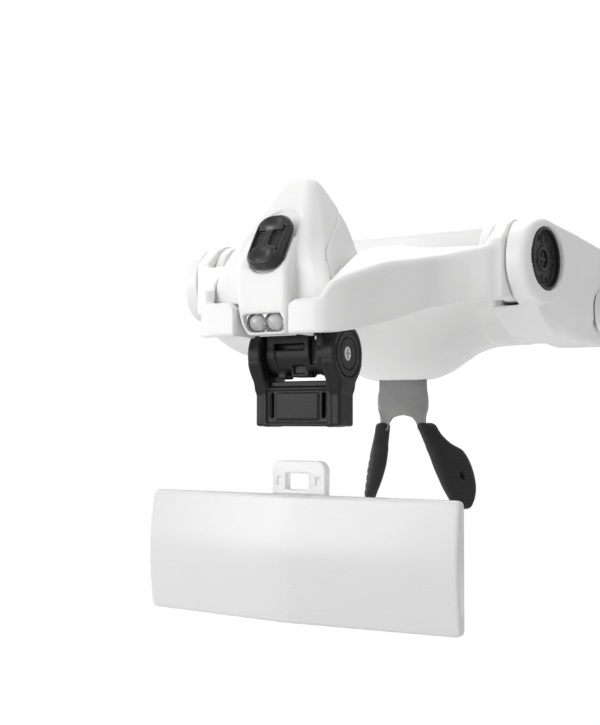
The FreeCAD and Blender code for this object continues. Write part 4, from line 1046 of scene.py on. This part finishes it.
# ================================================================ nose bracket and pads
BRACKET_OUTLINE = [                              # x, z
    (-8.75, -24), (8.75, -24), (8.75, -36), (9.25, -38.0), (9.25, -42.2), (8.4, -44.4),
    (8.2, -49.4), (5.5, -49.4), (5.2, -47.0), (3.6, -44.9), (0, -44.1), (-3.6, -44.9),
    (-5.2, -47.0), (-5.5, -49.4), (-8.2, -49.4), (-8.4, -44.4), (-9.25, -42.2), (-9.25, -38.0),
    (-8.75, -36)]
# z, centre x, centre y, half breadth, half thickness
PAD_SECTIONS = [
    (-74.8, 17.6, 39.9, 2.9, 1.4), (-71.2, 17.1, 40.1, 5.1, 1.9), (-67.0, 16.2, 40.3, 6.5, 2.3),
    (-61.0, 14.5, 39.6, 7.1, 2.65), (-56.0, 12.6, 37.9, 6.6, 2.6),
    (-53.5, 10.7, 35.4, 4.7, 2.55), (-50.0, 8.9, 33.2, 3.5, 2.45),
    (-47.0, 7.9, 32.0, 3.2, 2.35), (-45.6, 7.5, 31.7, 2.8, 2.1)]
PAD_TURN = math.radians(31.0)


def nose_bracket():
    grid = Grid((-9.9, 29.6, -50.4), (9.9, 32.4, -23.2), 0.22)
    x, y, z = grid.at
    sheet = meet(polygon(x, z, BRACKET_OUTLINE, 1.0), abs(y - NOSE_PLATE_Y) - 0.48, 0.22)
    return grid.mesh(cut(sheet, hypot(abs(x) - NOSE_SCREW_X, z - NOSE_SCREW_Z) - 1.1, 0.1))


def nose_pad():
    """Left pad: broad mostly backwards and leaning out, thin towards the nose."""
    grid = Grid((1.5, 26.5, -76.0), (25.0, 48.0, -44.6), 0.38)
    x, y, z = grid.at
    centre_x, centre_y, breadth, thickness = curves(PAD_SECTIONS, z)
    sine, cosine = math.sin(PAD_TURN), math.cos(PAD_TURN)
    broad = (x - centre_x) * sine + (y - centre_y) * cosine
    thin = (x - centre_x) * cosine - (y - centre_y) * sine
    thin = thin + 0.02 * np.clip(broad, -8, 8) ** 2 * np.clip((breadth - 3.0) / 4.0, 0, 1)
    radius = thickness * 0.92
    f = round_rect(abs(broad) - (breadth - radius), abs(thin) - (thickness - radius), radius)
    f = meet(f * 0.94, maximum(-75.2 - z, z + 46.7), 1.3)
    # small slot through the blade
    f = cut(f, hypot(maximum(abs(z + 64.0) - 0.7, 0), broad - 0.3) - 0.75, 0.3)
    # shallow grooves on the outward face
    pitch = 2.6
    grooves = hypot(((z + 73.5) / pitch % 1.0 - 0.5) * pitch, thin - thickness - 0.25) - 0.5
    return grid.mesh(cut(f, common(grooves, z + 58.0, -72.5 - z), 0.12))


make(nose_bracket(), "nose_bracket_sheet", STEEL, "head_frame", "nose_bracket")
SIDES = (("left", False), ("right", True))       # name, mirrored
pad_blade = nose_pad()
for side_name, flipped in SIDES:
    make(pad_blade, f"nose_pad_{side_name}_soft", RUBBER, "head_frame",
         "nose_pad_" + side_name, mirror=flipped)


# ================================================================ hinge caps
# Arc grooves: start and end in degrees, radius
CAP_ARCS = ((-60, -25, 4.2), (70, 120, 4.2), (170, 205, 4.2), (262, 290, 7.0), (35, 66, 7.0))


def hinge_cap():
    """Left cap: an open dish facing outwards, with a hub and relief on its floor."""
    grid = Grid((-0.8, -9.4, -9.4), (2.4, 9.4, 9.4), 0.14)
    x, y, z = grid.at
    around, angle = hypot(y, z), np.arctan2(z, y)
    f = meet(around - 8.95, maximum(-0.55 - x, x - 2.0), 0.35)
    f = cut(f, meet(around - 8.25, 0.45 - x, 0.25), 0.2)
    # hub with a raised cross in its well
    f = join(f, maximum(meet(around - 3.6, x - 0.95, 0.25), -0.3 - x), 0.25)
    f = cut(f, maximum(around - 2.65, 0.05 - x), 0.15)
    cross = minimum(maximum(abs(y) - 1.9, abs(z) - 0.42), maximum(abs(z) - 1.9, abs(y) - 0.42))
    f = join(f, maximum(cross, abs(x - 0.25) - 0.35), 0.1)
    # triangular recess
    triangle = polygon(y, z, [(4.4, -4.6), (6.9, -3.2), (5.6, -6.2)])
    f = cut(f, maximum(triangle, 0.0 - x), 0.12)
    # four radial ribs
    spoke = abs((angle + 0.5) % (math.pi / 2) - 0.5) * around - 0.5
    f = join(f, common(abs(around - 5.75) - 1.35, spoke, x - 0.8), 0.15)
    # ring of eight blind holes, large and small in turn
    for k in range(8):
        turn = math.radians(22.5 + 45 * k)
        radius = 0.95 if k % 2 == 0 else 0.7
        hole = hypot(y - 6.4 * math.cos(turn), z - 6.4 * math.sin(turn)) - radius
        f = cut(f, maximum(hole, 0.0 - x), 0.1)
    for start, end, radius in CAP_ARCS:
        middle, half = math.radians((start + end) / 2), math.radians((end - start) / 2)
        off = abs((angle - middle + math.pi) % (2 * math.pi) - math.pi)
        arc = maximum(abs(around - radius) - 0.3, (off - half) * radius)
        f = cut(f, maximum(arc, 0.2 - x), 0.08)
    verts, quads = grid.mesh(f)
    x, y, z = verts.T
    placed = CAP_X + x * CAP_COS - y * CAP_SIN, x * CAP_SIN + y * CAP_COS, z
    return np.stack(placed, 1), quads


cap_disc = hinge_cap()
for side_name, flipped in SIDES:
    make(cap_disc, f"hinge_cap_{side_name}_disc", CAP_BLACK, "head_frame",
         "hinge_cap_" + side_name, mirror=flipped)


# ================================================================ temples
HINGE_X, HINGE_Y = 67.4, 58.0
ARM_START, ARM_END = 61.6, 118.0
# y, top z, bottom z, half thickness
ARM_SECTIONS = [(60, -6.0, -19.0, 1.8), (75, -7.0, -18.0, 1.6), (95, -8.2, -16.8, 1.5),
                (118, -9.2, -15.8, 1.4), (132, -9.3, -15.7, 1.4)]
TONGUE_PLAN = [(65.2, 58.0), (70.2, 58.0), (69.7, 64.5), (66.1, 64.5)]      # x, y
# y, z, tilt in degrees, half height, half thickness
TIP_SECTIONS = [
    (118.15, -12.5, 0, 3.7, 2.25), (121.5, -12.5, 3, 3.9, 2.45), (126, -12.8, 6, 3.8, 2.4),
    (133.5, -14.1, 14, 3.6, 2.4), (140, -16.2, 24, 3.6, 2.4), (145.5, -19.0, 31, 3.6, 2.5),
    (149.6, -21.4, 36, 3.4, 2.4), (151.4, -22.6, 40, 2.7, 2.0)]
TIP_SIDES, TIP_STEPS = 28, 8


def arm_x(y):
    """Gentle inward curve of the temple, seen from above."""
    return 67.9 + 0.085 * (y - 62) - 0.00055 * (y - 62) ** 2


def temple_arm():
    """Left arm: hinge barrel, tongue, blade and the core inside the soft tip."""
    grid = Grid((62.0, 54.0, -20.4), (74.5, 132.0, -4.6), 0.42)
    x, y, z = grid.at
    centre = np.where(y < ARM_START, HINGE_X, arm_x(y))
    top, bottom, half = curves(ARM_SECTIONS, y)
    middle, tall = (bottom + top) / 2, (top - bottom) / 2
    f = round_rect(abs(x - centre) - (half - 1.0), abs(z - middle) - (tall - 1.0), 1.0)
    f = meet(f, maximum(ARM_START - y, y - ARM_END), 0.6)
    # long shallow channel on the outer face
    channel = common(abs(z - middle) - (tall - 3.0), (centre + half - 0.45) - x, 70 - y, y - 112)
    f = cut(f, channel, 0.3)
    from_pin = hypot(x - HINGE_X, y - HINGE_Y)
    joint_height = abs(z - JOINT_Z) - 3.35
    barrel = meet(from_pin - 2.9, joint_height, 0.3)
    tongue = meet(polygon(x, y, TONGUE_PLAN), joint_height, 0.3)
    f = join(f, minimum(barrel, tongue), 0.8)
    core = maximum(abs(x - centre) - 0.75, abs(z + 12.7) - 1.9)
    f = minimum(f, meet(core, maximum(116 - y, y - 129.6), 0.2))
    return grid.mesh(cut(f, from_pin - 1.04))


def temple_tip():
    """Left tip: a drooping sleeve with shallow grooves."""
    rows = spline(TIP_SECTIONS, TIP_STEPS)
    last = len(rows) - 1
    verts, faces = [], []
    for i, (y, z, tilt, tall, thick) in enumerate(rows):
        tilt = math.radians(tilt)
        scale = {0: 0.80, 1: 0.95}.get(min(i, last - i), 1.0)
        if 30 <= i <= 48 and i % 3 == 0:
            scale *= 0.94
        for k in range(TIP_SIDES):
            angle = 2 * math.pi * k / TIP_SIDES
            out, up = (math.copysign(abs(c) ** 0.62, c) * scale
                       for c in (math.cos(angle), math.sin(angle)))
            verts.append((arm_x(min(y, 150)) + out * thick, y + up * tall * math.sin(tilt),
                          z + up * tall * math.cos(tilt)))
    around = [(k, (k + 1) % TIP_SIDES) for k in range(TIP_SIDES)]
    for i in range(last):
        low, high = i * TIP_SIDES, (i + 1) * TIP_SIDES
        faces += [(high + k, high + after, low + after, low + k) for k, after in around]
    for end in (0, last * TIP_SIDES):
        centre = len(verts)
        verts.append(tuple(np.mean(verts[end:end + TIP_SIDES], 0)))
        for pair in around:
            k, after = pair if end == 0 else pair[::-1]
            faces.append((centre, end + k, end + after))
    return np.array(verts), faces


arm_blade, tip_sleeve = temple_arm(), temple_tip()
for side_name, flipped in SIDES:
    make(arm_blade, f"temple_arm_{side_name}_blade", WHITE, "temple_" + side_name,
         "temple_arm_" + side_name, mirror=flipped)
    subdivide(make(tip_sleeve, f"temple_tip_{side_name}_soft", RUBBER, "temple_" + side_name,
                   "temple_tip_" + side_name, mirror=flipped))


# ================================================================ forehead pad
# Back of the brow wall as (x, y)
WALL_BACK = [(0, 32.0), (12, 32.4), (25, 34.2), (40, 38.0), (50, 41.2), (60, 46.5)]
PAD_COLUMNS, PAD_ROWS = 66, 18
PAD_LAYER = PAD_COLUMNS * PAD_ROWS               # points in the glued or in the free layer
PAD_CHANNELS = (22, 43)                          # columns held down between three cells


def pad_mesh():
    """Glued front layer, then the free back layer, closed round the rim."""
    across = np.linspace(-50.5, 50.5, PAD_COLUMNS)
    seat = curves([(-x, y) for x, y in WALL_BACK[:0:-1]] + WALL_BACK, across)[0]
    last_i, last_j = PAD_COLUMNS - 1, PAD_ROWS - 1
    verts, faces = [], []
    for free in (False, True):
        for i, x in enumerate(across):
            for j, z in enumerate(np.linspace(-15.6, 10.6, PAD_ROWS)):
                from_rim = min(i, last_i - i, j, last_j - j)
                depth = (1.2, 3.2, 4.0)[min(from_rim, 2)] if free else 0.3
                verts.append((x, seat[i] + depth, z))

    def front(i, j):
        return i * PAD_ROWS + j

    def back(i, j):
        return PAD_LAYER + front(i, j)

    for i in range(last_i):
        for j in range(last_j):
            faces.append((front(i, j), front(i + 1, j), front(i + 1, j + 1), front(i, j + 1)))
            faces.append((back(i, j + 1), back(i + 1, j + 1), back(i + 1, j), back(i, j)))
    top, end = last_j, last_i
    for i in range(last_i):
        faces.append((back(i, 0), back(i + 1, 0), front(i + 1, 0), front(i, 0)))
        faces.append((front(i, top), front(i + 1, top), back(i + 1, top), back(i, top)))
    for j in range(last_j):
        faces.append((front(0, j), front(0, j + 1), back(0, j + 1), back(0, j)))
        faces.append((back(end, j), back(end, j + 1), front(end, j + 1), front(end, j)))
    return verts, faces


def points_of(mesh):
    return np.array([vertex.co for vertex in mesh.vertices])


def channel_points(rows):
    return [PAD_LAYER + i * PAD_ROWS + j for i in PAD_CHANNELS for j in rows]


def puff(pad):
    """Inflates the free layer with a short cloth run and keeps a limited part of the move."""
    most, forwards, backwards = 0.0022, -0.0002, 0.0016    # limits of the move, in metres
    last_frame = 20
    rest = points_of(pad.data)
    group = pad.vertex_groups.new(name="glued")
    group.add(list(range(PAD_LAYER)), 1.0, "REPLACE")
    group.add(channel_points(range(PAD_ROWS)), 1.0, "REPLACE")
    cloth = pad.modifiers.new("cloth", "CLOTH")
    settings = cloth.settings
    settings.vertex_group_mass = "glued"
    settings.use_pressure = True
    settings.uniform_pressure_force = 4
    settings.effector_weights.gravity = 0
    settings.quality = 5
    settings.mass = 0.1
    settings.tension_stiffness = settings.compression_stiffness = 25
    cloth.point_cache.frame_start, cloth.point_cache.frame_end = 1, last_frame
    scene = bpy.context.scene
    for number in range(1, last_frame + 1):
        scene.frame_set(number)
    settled = points_of(pad.evaluated_get(bpy.context.evaluated_depsgraph_get()).data)
    pad.modifiers.remove(cloth)
    scene.frame_set(1)
    move = settled - rest
    length = np.linalg.norm(move, axis=1)
    move *= np.where(length > most, most / maximum(length, 1e-9), 1.0)[:, None]
    move[:, 1] = np.clip(move[:, 1], forwards, backwards)
    set_points(pad.data, rest + move)
    pad.data.update()


pad = make(pad_mesh(), "forehead_pad_cushion", FOAM, "head_frame", "forehead_pad")
puff(pad)
# press the channels in, short of the rim
pad_points = points_of(pad.data)
pad_points[channel_points(range(2, PAD_ROWS - 2)), 1] -= 0.0011
set_points(pad.data, pad_points)
pad.data.update()
subdivide(pad)


# ================================================================ carried-over CAD nodes
def dress(name, material, bevel):
    """Gives a CAD node its finish and softened edges."""
    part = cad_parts[name]
    if not part.material_slots:
        part.data.materials.append(material)
    for slot in part.material_slots:
        slot.material = material
    part.modifiers.new("weld", "WELD").merge_threshold = 0.00001
    edge = part.modifiers.new("edge", "BEVEL")
    edge.width = bevel * MM
    edge.segments = 2
    edge.limit_method = "ANGLE"
    edge.angle_limit = math.radians(35)
    edge.harden_normals = False
    edge.use_clamp_overlap = True
    part.modifiers.new("wn", "WEIGHTED_NORMAL").keep_sharp = True


# material, bevel in mm, nodes
for node_material, node_bevel, node_names in (
    (INNER_WHITE, 0.25, "brow_liner lamp_base"),
    (WHITE, 0.35, "temple_joint_left temple_joint_right"),
    (CHROME, 0.12, "nose_bracket_screws pivot_screw_left pivot_screw_right "
                   "holder_pivot_screw holder_pivot_nut"),
    (CHROME, 0.1, "temple_joint_screws_left temple_joint_screws_right bracket_screws "
                  "lamp_screws"),
    (CHROME, 0.06, "battery_contact"),
    (STEEL, 0.12, "temple_pin_left temple_pin_right lamp_pivot_pin"),
    (STEEL, 0.06, "holder_washers"),
    (BLACK, 0.08, "friction_washer_left friction_washer_right"),
    (BLACK, 0.2, "switch_body"),
    (JACKET, 0.35, "battery_cells"),
    (BOARD, 0.08, "led_board"),
):
    for node_name in node_names.split():
        dress(node_name, node_material, node_bevel)


# ================================================================ studio (metres)
scene = bpy.context.scene
PURE_WHITE = (1, 1, 1, 1)


def studio_world():
    """White to the camera; to everything else grey, darkest near the horizon."""
    world = bpy.data.worlds.new("studio")
    scene.world = world
    nodes = Nodes(world)
    lit = nodes.tree.nodes["Background"]
    seen = nodes.add("Background", {"Color": PURE_WHITE, "Strength": 1.05})
    direction = nodes.add("SeparateXYZ", {0: nodes.coords("Generated")})
    height = nodes.plus(nodes.times(direction.outputs["Z"], 0.5), 0.5)
    grey = nodes.ramp(height, (0.0, 0.66), (0.46, 0.47), (0.58, 0.47), (0.95, 0.66))
    nodes.feed(lit, {"Color": grey, "Strength": 1.1})
    to_camera = nodes.add("LightPath").outputs["Is Camera Ray"]
    both = nodes.add("MixShader", {0: to_camera, 1: lit.outputs[0], 2: seen.outputs[0]})
    nodes.feed(nodes.tree.nodes["World Output"], {"Surface": both.outputs[0]})


def area_light(name, location, target, size, energy):
    light = bpy.data.lights.new(name, "AREA")
    light.shape, light.energy = "RECTANGLE", energy
    light.size, light.size_y = size
    lamp = bpy.data.objects.new(name, light)
    scene.collection.objects.link(lamp)
    lamp.location = location
    lamp.rotation_mode = "QUATERNION"
    aim = Vector(target) - Vector(location)
    lamp.rotation_quaternion = aim.to_track_quat("-Z", "Y")


def floor_material():
    """Pale floor that turns to the backdrop's white away from the object."""
    material, nodes, shader = new_material("pale_floor")
    near = nodes.add("TexGradient", {"Vector": nodes.mapped(nodes.coords(), Scale=(1.6,) * 3)},
                     gradient_type="SPHERICAL").outputs["Fac"]
    to_camera = nodes.add("LightPath").outputs["Is Camera Ray"]
    strength = nodes.plus(nodes.times(to_camera, 0.48), 0.52)
    glow = nodes.add("Emission", {"Color": PURE_WHITE, "Strength": strength})
    nodes.feed(shader, {"Base Color": (0.93, 0.93, 0.93, 1), "Roughness": 0.8})
    share = nodes.times(nodes.ramp(near, (0.0, 0.0), (0.8, 1.0)), 0.45)
    both = nodes.add("MixShader", {0: share, 1: glow.outputs[0], 2: shader.outputs[0]})
    nodes.feed(nodes.tree.nodes["Material Output"], {"Surface": both.outputs[0]})
    return material


def floor_disc(radius=6.0, sides=48, height=-0.150):
    material = floor_material()
    mesh = bpy.data.meshes.new("floor")
    turns = [2 * math.pi * k / sides for k in range(sides)]
    rim = [(radius * math.cos(turn), radius * math.sin(turn), 0) for turn in turns]
    mesh.from_pydata([(0, 0, 0)] + rim, [],
                     [(0, k + 1, (k + 1) % sides + 1) for k in range(sides)])
    mesh.materials.append(material)
    floor = bpy.data.objects.new("floor", mesh)
    scene.collection.objects.link(floor)
    floor.location = (0, 0, height)


studio_world()
# name, location, target, size, energy in watts
for light_row in (
    ("key_front", (-0.62, -1.10, 0.18), (0, -0.02, -0.03), (0.8, 0.8), 8.6),
    ("top_soft", (-0.30, 0.50, 1.05), (0, 0, 0), (0.9, 0.9), 6.8),
    ("rim_left", (-1.1, -0.15, 0.25), (-0.03, 0, -0.02), (0.6, 0.9), 4.5),
    ("fill_right", (0.95, -0.25, 0.65), (0.03, 0, 0), (0.8, 0.8), 1.0),
    ("rim_bounce", (0.01, 0.02, -0.0995), (0.01, 0.0201, 0.1), (0.17, 0.08), 0.017),
):
    area_light(*light_row)
floor_disc()

# ================================================================ camera
# Heading turns from +Y towards -X, pitch looks up
HEADING, PITCH, ROLL = math.radians(31.04), math.radians(3.08), math.radians(0.13)
camera_data = bpy.data.cameras.new("camera")
camera_data.sensor_fit, camera_data.sensor_width, camera_data.lens = "AUTO", 36.0, 56.76
camera_data.clip_start, camera_data.clip_end = 0.02, 50
camera = bpy.data.objects.new("camera", camera_data)
scene.collection.objects.link(camera)
view = Vector((-math.sin(HEADING) * math.cos(PITCH), math.cos(HEADING) * math.cos(PITCH),
               math.sin(PITCH)))
camera.location = (0.1672, -0.3135, -0.0472)
camera.rotation_mode = "QUATERNION"
camera.rotation_quaternion = view.to_track_quat("-Z", "Y") @ Quaternion((0, 0, 1), ROLL)
scene.camera = camera
scene.view_settings.view_transform = "Standard"
scene.view_settings.look = "None"
